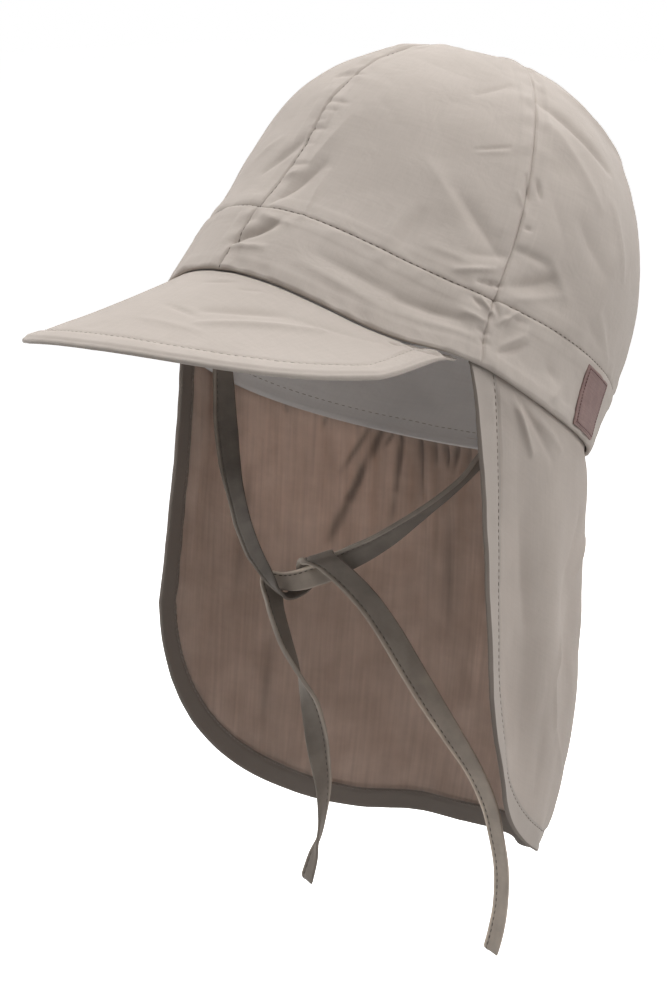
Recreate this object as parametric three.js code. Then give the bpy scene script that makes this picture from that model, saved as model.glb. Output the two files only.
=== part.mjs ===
// A child's sun cap in millimetres: crown of four panels on a band, stiff peak, neck flap and two
// knotted ties. +Z is up, the peak points to -Y, the wearer's left is +X, and the origin is the
// middle of the head opening.
import * as THREE from "three";

// Head opening and crown
const rimHalfWidth = 79; // middle of the opening to the side
const rimFront = 80; // middle of the opening to centre front, in the opening's plane
const rimBack = 74.5; // middle of the opening to centre back, in the opening's plane
const rimTilt = 29.3; // degrees, the opening slopes down to the back
const rimDip = 6; // how far the rim hangs below its plane at the sides
const rimSag = 2.5; // further down between centre front and each side
const rimArch = 3.4; // how far the rim rides up in front of the ears
const rimArchAngle = -25; // where it does so most, in degrees from the ear line
const rimArchSpread = 15;
const bandFrontRise = 2.3; // how much higher the band's top seam stands at centre front
const frontFlattening = 0.1; // share taken off the plan between centre front and side
const bandHeight = 22;
const crownHeight = 111; // rim plane to the top, square to the plane
const sideSeamAngle = 21.2; // degrees in front of the ear line, at the rim
const sideSeamLean = 8.7; // degrees more by the top of the crown

// Cloth and clearances
const shellWall = 1.3; // band and panels
const liningWall = 1;
const layerGap = 0.3; // between cloth layers that lie on each other
const tuckGap = 0.5; // between the band and the cloth caught inside it
const seamGap = 0.3; // between pieces that are sewn edge to edge
const crownEye = 0.1; // rows left open where the panels meet at the top
const liningEye = 0.3; // rows spanned by the flat top of the lining

// Peak
const peakHalfWidth = 74;
const peakReach = 90; // foremost edge in front of the peak's back corners
const peakCorner = 34; // back corners in front of the ear line
const peakEndAngle = 26; // degrees in front of the ear line, where the peak's seam ends
const peakEndStart = 0.88; // from here its ends draw in to their seam
const peakEndDraw = 0.9;
const peakRoundness = 2.35; // exponent of the outline, 2 is an ellipse
const peakWall = 2.6;
const peakTipHeight = 20.5; // foremost edge above the origin
const peakCornerHeight = 12.5; // back corners above the origin
const peakArch = -0.5; // how far the top bulges between root and edge

// Flap
const flapWall = 1.2;
const flapHalfWidth = 76.5; // middle to each front edge
const flapBackReach = 75; // middle to the hem at the nape
const flapLeftStart = 23.5; // degrees in front of the ear line, where the flap is sewn on
const flapRightStart = 8;
const flapTuck = 4; // cloth caught inside the band
const flapEdgeDrop = 86.2; // origin down to the end of the straight front edge
const flapCornerDrop = 86; // further down to the hem beside the rounded corner
const flapCornerWidth = 105; // round corner, measured along the hem
const hemWidth = 7.5;
const hemSteps = 200; // steps in which the hem's length is measured
const hemExtra = 0.6; // added thickness where the cloth is folded
const gatherDepth = 2.2;
const gatherCount = 9;
const gatherSpread = 52; // degrees each side of centre back

// Ties and label
const tieWidth = 7.4;
const tieWall = 0.9;
const labelWidth = 19;
const labelHeight = 21.2;
const labelWall = 1;
const labelAngle = 18; // degrees behind the ear line, on the wearer's left

// Each row is a level of the shell. Heights are shares of the band's or the crown's own height,
// and front, side and back are shares of the opening's reach that way.
const bandSections = [
  { height: 0.0, front: 1.0, side: 1.0, back: 1.0 },
  { height: 0.5, front: 0.96, side: 0.966, back: 1.064 },
  { height: 1.0, front: 0.91, side: 0.954, back: 1.1 },
];
const crownSections = [
  { height: 0.177, front: 0.83, side: 0.948, back: 1.113 },
  { height: 0.352, front: 0.785, side: 0.926, back: 1.069 },
  { height: 0.526, front: 0.736, side: 0.872, back: 0.976 },
  { height: 0.688, front: 0.632, side: 0.774, back: 0.85 },
  { height: 0.825, front: 0.486, side: 0.638, back: 0.688 },
  { height: 0.931, front: 0.303, side: 0.455, back: 0.485 },
  { height: 0.988, front: 0.11, side: 0.22, back: 0.24 },
  { height: 1.0, front: 0.0, side: 0.0, back: 0.0 },
];

// Dents and swells of the shell on the wearer's left, mirrored for the right. Angle is degrees
// from the ear line, minus to the front; level counts the rows above; spread and rise are the
// half sizes in degrees and rows; lift is a share of the band's height, minus inwards.
const shellRelief = [
  { angle: -90, level: 4.5, spread: 2.5, rise: 4.5, lift: -0.035 },
  { angle: -24, level: 4.5, spread: 2.5, rise: 4.5, lift: -0.04 },
  { angle: -10, level: 2.7, spread: 8, rise: 0.5, lift: -0.12 },
  { angle: -17, level: 5.0, spread: 5, rise: 0.35, lift: -0.06 },
  { angle: -36, level: 1.0, spread: 9, rise: 0.5, lift: -0.06 },
  { angle: -28, level: 1.4, spread: 4, rise: 0.4, lift: 0.05 },
  { angle: 8, level: 3.6, spread: 6, rise: 1.0, lift: 0.06 },
  { angle: 30, level: 3.0, spread: 10, rise: 1.2, lift: -0.05 },
];

// The hem seen from above, from the left front edge round the nape to the right one. Along is
// the share of the way round the top, x and y are shares of the flap's half width and of its
// reach to the nape, late is the power that keeps the cloth under the rim as it comes down, and
// rise is a share of the hem's width that the hem is raised.
const flapStations = [
  { along: 0, x: 0.993, y: -0.347, late: 0.55, rise: 0 },
  { along: 0.0375, x: 0.954, y: -0.213, late: 0.65, rise: 0 },
  { along: 0.091, x: 0.863, y: -0.04, late: 1, rise: 0 },
  { along: 0.162, x: 0.775, y: 0.216, late: 2.6, rise: 0.3 },
  { along: 0.205, x: 0.674, y: 0.338, late: 3.6, rise: 0.65 },
  { along: 0.272, x: 0.515, y: 0.525, late: 4.4, rise: 0.8 },
  { along: 0.359, x: 0.288, y: 0.747, late: 3.6, rise: 0.45 },
  { along: 0.437, x: 0.052, y: 0.907, late: 2.6, rise: 0.3 },
  { along: 0.52, x: -0.235, y: 1, late: 2, rise: 0.05 },
  { along: 0.607, x: -0.549, y: 0.973, late: 1.8, rise: 0 },
  { along: 0.683, x: -0.784, y: 0.827, late: 1.6, rise: 0 },
  { along: 0.754, x: -0.915, y: 0.6, late: 1.4, rise: 0.2 },
  { along: 0.818, x: -0.974, y: 0.373, late: 1.3, rise: 0.3 },
  { along: 0.883, x: -0.993, y: 0.133, late: 1.2, rise: 0.3 },
  { along: 0.948, x: -1, y: -0.107, late: 1.2, rise: 0.2 },
  { along: 1, x: -0.993, y: -0.299, late: 1.3, rise: 0 },
];

// Soft folds of the flap. Along and drop place the middle, as shares of the way round and down,
// spread and fall are the half sizes, and lift is a share of the hem's width, minus inwards.
const flapFolds = [
  { along: 0.13, drop: 0.5, spread: 0.035, fall: 0.3, lift: 0.3 },
  { along: 0.2, drop: 0.45, spread: 0.04, fall: 0.25, lift: -0.35 },
  { along: 0.35, drop: 0.75, spread: 0.05, fall: 0.3, lift: -0.5 },
  { along: 0.62, drop: 0.8, spread: 0.05, fall: 0.35, lift: 0.5 },
  { along: 0.76, drop: 0.7, spread: 0.05, fall: 0.35, lift: -0.45 },
  { along: 0.06, drop: 0.75, spread: 0.03, fall: 0.25, lift: -0.2 },
];

// Chosen routes of the ties, in millimetres, in a frame turned by tieTurn about the vertical:
// aside is to the wearer's left and back, near is to the left front. Slant is the way across the
// tie seen from the near side and turn swings it round towards that side, both in degrees. Wide
// is the length of a row across the tie as a share of its width, more than 1 along a slanted fold.
const tieTurn = 43;
const rightTieRoute = [
  { aside: -48.6, up: 3, near: -51.4, slant: 180, turn: 38, wide: 1 },
  { aside: -49.5, up: -6, near: -52.2, slant: 180, turn: 32, wide: 1 },
  { aside: -49.1, up: -15.8, near: -51.2, slant: 180, turn: 4, wide: 1 },
  { aside: -48.8, up: -23.5, near: -49.2, slant: 180, turn: 0, wide: 1.09 },
  { aside: -48.1, up: -30.6, near: -46.6, slant: 185, turn: 0, wide: 1.08 },
  { aside: -47.2, up: -37.7, near: -42.0, slant: 187, turn: -4, wide: 1.03 },
  { aside: -46.0, up: -43.3, near: -36.0, slant: 192, turn: -23, wide: 1 },
  { aside: -44.2, up: -49.0, near: -28.0, slant: 194, turn: -33, wide: 1 },
  { aside: -42.2, up: -54.2, near: -16.0, slant: 199, turn: -33, wide: 1 },
  { aside: -39.9, up: -58.0, near: -4.5, slant: 198, turn: -35, wide: 1 },
  { aside: -37.5, up: -61.5, near: 5.0, slant: 196, turn: -36, wide: 1 },
  { aside: -34.9, up: -64.4, near: 11.5, slant: 189, turn: -43, wide: 1 },
  { aside: -32.5, up: -67.3, near: 16.0, slant: 189, turn: -57, wide: 1 },
  { aside: -30.5, up: -69.8, near: 17.8, slant: 194, turn: -73, wide: 1 },
  { aside: -27.1, up: -73.4, near: 14.2, slant: 265, turn: -90, wide: 1 },
  { aside: -23.3, up: -71.6, near: 10.4, slant: 315, turn: -128, wide: 1 },
  { aside: -20.9, up: -68.6, near: 9.6, slant: 326, turn: -160, wide: 1 },
  { aside: -19.6, up: -64.7, near: 11.6, slant: 344, turn: -180, wide: 1.2 },
  { aside: -17.5, up: -59.2, near: 18.2, slant: 376, turn: -180, wide: 1.48 },
  { aside: -16.8, up: -59.4, near: 22.2, slant: 374, turn: -180, wide: 1.55 },
  { aside: -14.5, up: -60.2, near: 23.6, slant: 369, turn: -180, wide: 1.48 },
  { aside: -11.8, up: -61.8, near: 23.9, slant: 364, turn: -180, wide: 1.43 },
  { aside: -9.2, up: -64.1, near: 23.8, slant: 367, turn: -180, wide: 1.34 },
  { aside: -6.0, up: -67.1, near: 24.0, slant: 370, turn: -180, wide: 1.25 },
  { aside: -2.6, up: -70.7, near: 24.3, slant: 384, turn: -180, wide: 1.1 },
  { aside: 1.3, up: -75.4, near: 24.7, slant: 396, turn: -180, wide: 1.06 },
  { aside: 6.9, up: -83.8, near: 25.3, slant: 391, turn: -180, wide: 1.09 },
  { aside: 12.6, up: -93.5, near: 26.3, slant: 392, turn: -180, wide: 1.09 },
  { aside: 19.1, up: -104.2, near: 27.6, slant: 392, turn: -180, wide: 1.06 },
  { aside: 27.0, up: -116.4, near: 30.3, slant: 387, turn: -163, wide: 1 },
  { aside: 34.1, up: -127.6, near: 32.6, slant: 369, turn: -145, wide: 1 },
  { aside: 38.8, up: -138.0, near: 35.2, slant: 371, turn: -134, wide: 1 },
  { aside: 41.1, up: -147.5, near: 37.6, slant: 368, turn: -128, wide: 1 },
  { aside: 42.8, up: -158.4, near: 39.4, slant: 360, turn: -125, wide: 1 },
  { aside: 42.6, up: -170.0, near: 40.0, slant: 350, turn: -123, wide: 1 },
  { aside: 41.2, up: -178.9, near: 40.2, slant: 346, turn: -125, wide: 1 },
  { aside: 39.4, up: -186.0, near: 40.2, slant: 343, turn: -124, wide: 1 },
];
const leftTieRoute = [
  { aside: 55.3, up: -5, near: 45.5, slant: 150, turn: 48, wide: 1 },
  { aside: 46.4, up: -13.1, near: 43.8, slant: 131, turn: 38, wide: 1.09 },
  { aside: 37.1, up: -21.5, near: 41.7, slant: 128, turn: 50, wide: 1 },
  { aside: 30.2, up: -29.9, near: 39.2, slant: 121, turn: 63, wide: 1 },
  { aside: 24.2, up: -35.9, near: 36.6, slant: 126, turn: 61, wide: 1 },
  { aside: 19.0, up: -40.6, near: 33.7, slant: 124, turn: 57, wide: 1 },
  { aside: 13.0, up: -45.8, near: 30.4, slant: 125, turn: 47, wide: 1 },
  { aside: 7.4, up: -50.4, near: 27.6, slant: 120, turn: 33, wide: 1 },
  { aside: 1.1, up: -54.9, near: 24.6, slant: 118, turn: 21, wide: 1 },
  { aside: -5.4, up: -58.8, near: 21.4, slant: 116, turn: 0, wide: 1.01 },
  { aside: -10.9, up: -61.9, near: 19.0, slant: 116, turn: -4, wide: 1.02 },
  { aside: -15.0, up: -64.8, near: 17.4, slant: 121, turn: -16, wide: 1 },
  { aside: -18.6, up: -66.2, near: 16.6, slant: 117, turn: -26, wide: 1.01 },
  { aside: -22.1, up: -67.6, near: 15.4, slant: 112, turn: -36, wide: 1.02 },
  { aside: -25.4, up: -68.5, near: 13.8, slant: 107, turn: -44, wide: 1.02 },
  { aside: -28.3, up: -69.0, near: 11.4, slant: 103, turn: -46, wide: 1 },
  { aside: -30.7, up: -68.8, near: 10.0, slant: 111, turn: -40, wide: 1 },
  { aside: -32.1, up: -69.0, near: 9.0, slant: 128, turn: -28, wide: 1 },
  { aside: -32.5, up: -70.2, near: 8.8, slant: 154, turn: -10, wide: 1 },
  { aside: -32.0, up: -71.9, near: 9.2, slant: 170, turn: 14, wide: 1 },
  { aside: -31.3, up: -74.1, near: 10.6, slant: 189, turn: 34, wide: 1 },
  { aside: -30.3, up: -78.8, near: 13.6, slant: 190, turn: 49, wide: 1 },
  { aside: -27.2, up: -88.0, near: 17.3, slant: 196, turn: 62, wide: 1 },
  { aside: -23.8, up: -95.7, near: 19.0, slant: 205, turn: 84, wide: 1 },
  { aside: -21.8, up: -101.2, near: 19.5, slant: 200, turn: 108, wide: 1 },
  { aside: -19.5, up: -107.8, near: 20.0, slant: 192, turn: 142, wide: 1 },
  { aside: -17.8, up: -115.9, near: 20.0, slant: 188, turn: 168, wide: 1 },
  { aside: -16.3, up: -126.0, near: 20.0, slant: 185, turn: 206, wide: 1 },
  { aside: -15.1, up: -136.5, near: 20.0, slant: 180, turn: 233, wide: 1 },
  { aside: -15.6, up: -147.0, near: 20.0, slant: 177, turn: 256, wide: 1 },
  { aside: -16.8, up: -154.0, near: 20.5, slant: 172, turn: 266, wide: 1 },
  { aside: -18.3, up: -159.6, near: 21.0, slant: 166, turn: 288, wide: 1 },
  { aside: -20.5, up: -167.5, near: 21.5, slant: 163, turn: 297, wide: 1 },
];

const radians = THREE.MathUtils.degToRad;
const clamp = THREE.MathUtils.clamp;
const lerp = THREE.MathUtils.lerp;
const vector = (x, y, z) => new THREE.Vector3(x, y, z);
const bump = (distance) => Math.exp(-distance * distance);

// Rises softly from 0 to 1 as the value goes from one limit to the other, in either direction.
function smooth(from, to, value) {
  const t = clamp((value - from) / (to - from), 0, 1);
  return t * t * (3 - 2 * t);
}

// Catmull-Rom through the named columns of a table, at a fractional row.
function sampleRows(rows, at) {
  const last = rows.length - 1;
  const row = Math.min(Math.floor(clamp(at, 0, last)), last - 1);
  const t = clamp(at, 0, last) - row;
  const result = {};
  for (const name of Object.keys(rows[0])) {
    const b = rows[row][name];
    const c = rows[row + 1][name];
    const a = row > 0 ? rows[row - 1][name] : 2 * b - c;
    const d = row + 2 <= last ? rows[row + 2][name] : 2 * c - b;
    const linear = (c - a) * t;
    const square = (2 * a - 5 * b + 4 * c - d) * t * t;
    const cube = (3 * b - a - 3 * c + d) * t * t * t;
    result[name] = 0.5 * (2 * b + linear + square + cube);
  }
  return result;
}

// The fractional row at which a rising column reaches a value.
function rowAt(rows, name, value) {
  const next = rows.findIndex((row) => row[name] >= value);
  if (next < 0) return rows.length - 1;
  if (next === 0) return 0;
  const low = rows[next - 1][name];
  return next - 1 + (value - low) / (rows[next][name] - low);
}

const aboveBand = crownHeight - bandHeight;
const flapInset = shellWall + tuckGap + flapWall / 2; // shell's face to the middle of the flap
const sections = [
  ...bandSections.map((row) => ({ ...row, height: row.height * bandHeight })),
  ...crownSections.map((row) => ({ ...row, height: bandHeight + row.height * aboveBand })),
];
const bandTop = bandSections.length - 1;
const crownTop = sections.length - 1;
const tilt = radians(rimTilt);

// A point of the opening's own frame, turned down to the back.
function tilted(x, along, height) {
  const y = along * Math.cos(tilt) + height * Math.sin(tilt);
  const z = height * Math.cos(tilt) - along * Math.sin(tilt);
  return vector(x, y, z);
}

function smoothShell(angle, level) {
  const row = sampleRows(sections, level);
  const across = Math.cos(angle);
  const along = Math.sin(angle);
  const isFront = along < 0;
  const corner = isFront ? Math.sin(2 * angle) ** 2 : 0;
  const plan = 1 - frontFlattening * corner;
  const reach = isFront ? row.front * rimFront : row.back * rimBack;
  const left = 1 - row.height / crownHeight;
  const dip = (rimDip * across ** 2 + rimSag * corner) * left ** 2;
  const overBand = Math.min(row.height / bandHeight, (crownHeight - row.height) / aboveBand);
  const besideEar = (THREE.MathUtils.radToDeg(Math.asin(clamp(along, -1, 1))) - rimArchAngle) / rimArchSpread;
  const arched = rimArch * Math.exp(-(besideEar ** 2)) * (1 - smooth(0, 1.6, level));
  const rise = (isFront ? bandFrontRise * along ** 2 * overBand : 0) + arched;
  const height = row.height + rise - dip;
  return tilted(row.side * rimHalfWidth * across * plan, reach * along * plan, height);
}

function shellNormal(angle, level) {
  if (level > crownTop - 0.05) return tilted(0, 0, 1);
  const step = 0.01;
  const round = smoothShell(angle + step, level).sub(smoothShell(angle - step, level));
  const low = Math.max(level - step, 0);
  const rise = smoothShell(angle, level + step).sub(smoothShell(angle, low));
  return round.cross(rise).normalize();
}

// How far the dents and swells move the shell out, alike on both sides.
function shellLift(angle, level) {
  let degrees = THREE.MathUtils.radToDeg(angle);
  if (degrees > 90) degrees = 180 - degrees;
  if (degrees < -90) degrees = -180 - degrees;
  let lift = 0;
  for (const row of shellRelief) {
    const away = bump((degrees - row.angle) / row.spread) * bump((level - row.level) / row.rise);
    lift += row.lift * bandHeight * away;
  }
  return lift * smooth(crownTop, crownTop - 1.5, level);
}

// A point of the shell, inset by that much from its outer face.
function shellPoint(angle, level, inset = 0) {
  const out = shellLift(angle, level) - inset;
  return smoothShell(angle, level).addScaledVector(shellNormal(angle, level), out);
}

const flipped = (grid) => grid.map((row) => row.reverse());

// Turns two grids of points, an outer and an inner face, into one closed wall.
function closedWall(outer, inner) {
  const rows = outer.length;
  const columns = outer[0].length;
  const points = [...outer.flat(), ...inner.flat()];
  const index = (layer, row, column) => (layer * rows + row) * columns + column;
  const faces = [];
  const quad = (a, b, c, d) => faces.push(a, b, c, a, c, d);
  for (let row = 0; row < rows - 1; row++) {
    for (let column = 0; column < columns - 1; column++) {
      const corners = (layer) => [
        index(layer, row, column),
        index(layer, row, column + 1),
        index(layer, row + 1, column + 1),
        index(layer, row + 1, column),
      ];
      quad(...corners(0));
      quad(...corners(1).reverse());
    }
  }
  const border = [];
  for (let column = 0; column < columns - 1; column++) border.push([0, column]);
  for (let row = 0; row < rows - 1; row++) border.push([row, columns - 1]);
  for (let column = columns - 1; column > 0; column--) border.push([rows - 1, column]);
  for (let row = rows - 1; row > 0; row--) border.push([row, 0]);
  border.forEach(([row, column], at) => {
    const [nextRow, nextColumn] = border[(at + 1) % border.length];
    quad(
      index(0, row, column),
      index(1, row, column),
      index(1, nextRow, nextColumn),
      index(0, nextRow, nextColumn),
    );
  });
  return geometryOf(points, faces);
}

function geometryOf(points, faces) {
  const positions = faces.flatMap((at) => points[at].toArray());
  const geometry = new THREE.BufferGeometry();
  geometry.setAttribute("position", new THREE.Float32BufferAttribute(positions, 3));
  geometry.computeVertexNormals();
  return geometry;
}

// A grid of points from a function of two shares, 0 to 1.
function gridOf(columns, rows, pointAt) {
  return Array.from({ length: rows + 1 }, (_, row) =>
    Array.from({ length: columns + 1 }, (_, column) => pointAt(column / columns, row / rows)),
  );
}

// Angles of the seams at a level, on the wearer's left.
const centreFront = () => radians(-90);
const centreBack = () => radians(90);
const sideSeam = (level) => radians(-sideSeamAngle - (sideSeamLean * level) / crownTop);
const mirrored = (angle) => Math.PI - angle;

// A sewn piece of the shell between two seams and two levels, half a seam gap inside each.
function shellPiece({ fromSeam, toSeam, low, high, columns, rows, isRight = false }) {
  const gap = seamGap / 2;
  const middle = (fromSeam(low) + toSeam(low)) / 2;
  const perLevel = smoothShell(middle, low).distanceTo(smoothShell(middle, low + 0.1)) / 0.1;
  const start = low > 0 ? low + gap / perLevel : low;
  const end = high < crownTop ? high - gap / perLevel : high - crownEye;
  const face = (inset) =>
    gridOf(columns, rows, (share, rise) => {
      const level = lerp(start, end, rise);
      const axis = tilted(0, 0, sampleRows(sections, level).height);
      const trim = gap / smoothShell(middle, level).distanceTo(axis);
      const first = fromSeam(level) + trim;
      const last = toSeam(level) - trim;
      const angle = isRight ? mirrored(lerp(last, first, share)) : lerp(first, last, share);
      return shellPoint(angle, level, inset);
    });
  return closedWall(face(0), face(shellWall));
}

// One closed dome inside the panels and the flap's top, open below.
function liningGeometry(columns, rows) {
  const inset = shellWall + tuckGap + flapWall + hemExtra + layerGap;
  const layerSize = rows * columns + 1;
  const points = [];
  for (const depth of [inset, inset + liningWall]) {
    for (let row = 0; row < rows; row++) {
      for (let column = 0; column < columns; column++) {
        const level = (row / rows) * (crownTop - liningEye);
        points.push(shellPoint((2 * Math.PI * column) / columns, level, depth));
      }
    }
    points.push(shellPoint(0, crownTop, depth));
  }
  const at = (layer, row, column) => layer * layerSize + row * columns + (column % columns);
  const pole = (layer) => (layer + 1) * layerSize - 1;
  const faces = [];
  for (let column = 0; column < columns; column++) {
    const next = column + 1;
    for (let row = 0; row < rows - 1; row++) {
      faces.push(at(0, row, column), at(0, row, next), at(0, row + 1, next));
      faces.push(at(0, row, column), at(0, row + 1, next), at(0, row + 1, column));
      faces.push(at(1, row + 1, next), at(1, row, next), at(1, row, column));
      faces.push(at(1, row + 1, column), at(1, row + 1, next), at(1, row, column));
    }
    faces.push(at(0, rows - 1, column), at(0, rows - 1, next), pole(0));
    faces.push(at(1, rows - 1, next), at(1, rows - 1, column), pole(1));
    faces.push(at(0, 0, next), at(0, 0, column), at(1, 0, column));
    faces.push(at(0, 0, next), at(1, 0, column), at(1, 0, next));
  }
  return geometryOf(points, faces);
}

// The top of the peak: share runs from the right corner to the left one, out from root to edge.
function peakTop(share, out) {
  const angle = radians(lerp(peakEndAngle - 180, -peakEndAngle, share));
  const root = shellPoint(angle, 0);
  const away = vector(Math.cos(angle), Math.sin(angle), 0);
  root.addScaledVector(away, layerGap);
  const turn = Math.PI * share;
  const wide = Math.abs(Math.cos(turn)) ** (2 / peakRoundness);
  const deep = Math.abs(Math.sin(turn)) ** (2 / peakRoundness);
  const x = -Math.sign(Math.cos(turn)) * peakHalfWidth * wide;
  const rise = (peakTipHeight - peakCornerHeight) * Math.sin(turn) ** 3;
  const edge = vector(x, -peakCorner - peakReach * deep, peakCornerHeight + rise);
  edge.lerp(root, peakEndDraw * smooth(peakEndStart, 1, Math.max(share, 1 - share)));
  const point = root.lerp(edge, out);
  point.z += peakArch * 4 * out * (1 - out) * Math.sin(turn);
  return point;
}

function peakGeometry() {
  const step = 0.004;
  const face = (depth) =>
    gridOf(28, 6, (share, out) => {
      const left = peakTop(Math.min(share + step, 1), out);
      const right = peakTop(Math.max(share - step, 0), out);
      const front = peakTop(share, Math.min(out + step, 1));
      const back = peakTop(share, Math.max(out - step, 0));
      const normal = front.sub(back).cross(left.sub(right)).normalize();
      return peakTop(share, out).addScaledVector(normal, -depth);
    });
  return closedWall(flipped(face(0)), flipped(face(peakWall)));
}

const flapAngle = (along) => radians(lerp(-flapLeftStart, 180 + flapRightStart, along));

// How low the hem hangs at a distance from the nearer front edge, measured along the hem.
function hemDrop(distance) {
  const inCorner = clamp(1 - distance / flapCornerWidth, 0, 1);
  return flapEdgeDrop + flapCornerDrop * Math.sqrt(1 - inCorner ** 2);
}

// The hem in fine steps, each with the length from the left front edge.
const hemLine = [];
for (let step = 0; step <= hemSteps; step++) {
  const station = sampleRows(flapStations, rowAt(flapStations, "along", step / hemSteps));
  const x = station.x * flapHalfWidth;
  const y = station.y * flapBackReach;
  const before = hemLine[step - 1];
  const length = before ? before.length + Math.hypot(x - before.x, y - before.y) : 0;
  hemLine.push({ x, y, late: station.late, rise: station.rise * hemWidth, length });
}

// The middle surface of the flap, drop being 0 at the rim and 1 at the hem.
function smoothFlap(along, drop) {
  const angle = flapAngle(along);
  if (drop < 0) return shellPoint(angle, -drop, flapInset);
  const rim = shellPoint(angle, 0, flapInset);
  const hem = sampleRows(hemLine, along * hemSteps);
  const low = hem.rise - hemDrop(Math.min(hem.length, hemLine[hemSteps].length - hem.length));
  const swing = drop ** hem.late;
  return vector(lerp(rim.x, hem.x, swing), lerp(rim.y, hem.y, swing), lerp(rim.z, low, drop));
}

function flapNormal(along, drop) {
  const step = 0.002;
  const ahead = smoothFlap(Math.min(along + step, 1), drop);
  const behind = smoothFlap(Math.max(along - step, 0), drop);
  const above = smoothFlap(along, Math.max(drop - 0.01, 0));
  const below = smoothFlap(along, Math.min(Math.max(drop, 0) + 0.01, 1));
  return ahead.sub(behind).cross(above.sub(below)).normalize();
}

function flapLift(along, drop) {
  const degrees = THREE.MathUtils.radToDeg(flapAngle(along)) - 90;
  const gathered = smooth(0.02, 0.12, drop) * smooth(0.6, 0.2, drop);
  const spread = smooth(gatherSpread, gatherSpread * 0.6, Math.abs(degrees));
  const wave = Math.cos((degrees / gatherSpread) * Math.PI * gatherCount);
  let lift = 0.5 * gatherDepth * wave * gathered * spread;
  for (const fold of flapFolds) {
    const away = bump((along - fold.along) / fold.spread) * bump((drop - fold.drop) / fold.fall);
    lift += fold.lift * hemWidth * away;
  }
  return lift * smooth(0, 0.1, drop);
}

// Columns stand closer where the corner rounds and where the cloth is gathered.
function flapColumns() {
  const corner = [0, 0.012, 0.03, 0.055, 0.085, 0.12, 0.16, 0.2, 0.24];
  const gathers = Array.from({ length: 37 }, (_, at) => lerp(0.28, 0.72, at / 36));
  return [...corner, ...gathers, ...corner.map((along) => 1 - along).reverse()];
}

function flapGeometry() {
  const columns = flapColumns();
  const tuckLevel = (flapTuck * bandTop) / bandHeight;
  const hanging = [0.05, 0.11, 0.17, 0.24, 0.32, 0.41, 0.51, 0.62, 0.73, 0.83, 0.9, 0.955, 1];
  const drops = [-tuckLevel, -tuckLevel / 20, ...hanging];
  const face = (isOuter) =>
    drops.map((drop, row) =>
      columns.map((along, column) => {
        const isHem = row > drops.length - 3 || column < 2 || column > columns.length - 3;
        const folded = isHem && drop > 0 ? hemExtra : 0;
        const shift = isOuter ? flapWall / 2 : -flapWall / 2 - folded;
        if (drop < 0) return shellPoint(flapAngle(along), -drop, flapInset - shift);
        const out = flapLift(along, drop) + shift;
        return smoothFlap(along, drop).addScaledVector(flapNormal(along, drop), out);
      }),
    );
  return closedWall(flipped(face(true)), flipped(face(false)));
}

// A flat tie swept along its route, with square ends.
function tieGeometry(route) {
  const aside = vector(Math.cos(radians(tieTurn)), Math.sin(radians(tieTurn)), 0);
  const near = vector(Math.sin(radians(tieTurn)), -Math.cos(radians(tieTurn)), 0);
  const up = vector(0, 0, 1);
  const stepsPerRow = 2;
  const count = (route.length - 1) * stepsPerRow;
  const rows = Array.from({ length: count + 1 }, (_, at) => sampleRows(route, at / stepsPerRow));
  const middles = rows.map((row) =>
    vector(0, 0, 0)
      .addScaledVector(aside, row.aside)
      .addScaledVector(up, row.up)
      .addScaledVector(near, row.near),
  );
  const rings = rows.map((row, at) => {
    const slant = radians(row.slant);
    const turn = radians(row.turn);
    const across = vector(0, 0, 0)
      .addScaledVector(aside, Math.cos(slant) * Math.cos(turn))
      .addScaledVector(up, Math.sin(slant) * Math.cos(turn))
      .addScaledVector(near, Math.sin(turn));
    const along = middles[Math.min(at + 1, count)].clone().sub(middles[Math.max(at - 1, 0)]);
    const normal = across.clone().cross(along).normalize();
    const reach = (row.wide * tieWidth) / 2;
    const corner = (side, face) =>
      middles[at]
        .clone()
        .addScaledVector(across, side * reach)
        .addScaledVector(normal, (face * tieWall) / 2);
    return [corner(-1, -1), corner(1, -1), corner(1, 1), corner(-1, 1)];
  });
  const points = rings.flat();
  const faces = [0, 1, 2, 0, 2, 3];
  for (let ring = 0; ring < count; ring++) {
    for (let side = 0; side < 4; side++) {
      const a = ring * 4 + side;
      const b = ring * 4 + ((side + 1) % 4);
      faces.push(a, a + 4, b + 4, a, b + 4, b);
    }
  }
  const end = count * 4;
  faces.push(end, end + 2, end + 1, end, end + 3, end + 2);
  return geometryOf(points, faces);
}

function labelGeometry() {
  const middle = radians(labelAngle);
  const perRadian = smoothShell(middle, 1).distanceTo(smoothShell(middle + 0.1, 1)) / 0.1;
  const perLevel = smoothShell(middle, 0).distanceTo(smoothShell(middle, bandTop)) / bandTop;
  const face = (inset) =>
    gridOf(4, 3, (share, rise) => {
      const angle = middle + ((share - 0.5) * labelWidth) / perRadian;
      const level = 0.475 * bandTop + ((rise - 0.5) * labelHeight) / perLevel;
      return shellPoint(angle, level, inset);
    });
  return closedWall(face(-layerGap - labelWall), face(-layerGap));
}

const cloth = (color, roughness = 0.9) =>
  new THREE.MeshStandardMaterial({ color, roughness, metalness: 0 });
const shellCloth = cloth(0xb3aa9f);
const peakCloth = cloth(0xbdb4a8);
const flapCloth = cloth(0xa3988d);
const tieCloth = cloth(0x6c645c);
const liningCloth = cloth(0x8d8886);
const labelWeave = cloth(0x9a8077, 0.85);

const cap = new THREE.Group();
function addPiece(name, geometry, material) {
  const piece = new THREE.Mesh(geometry, material);
  piece.name = name;
  cap.add(piece);
}

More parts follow.
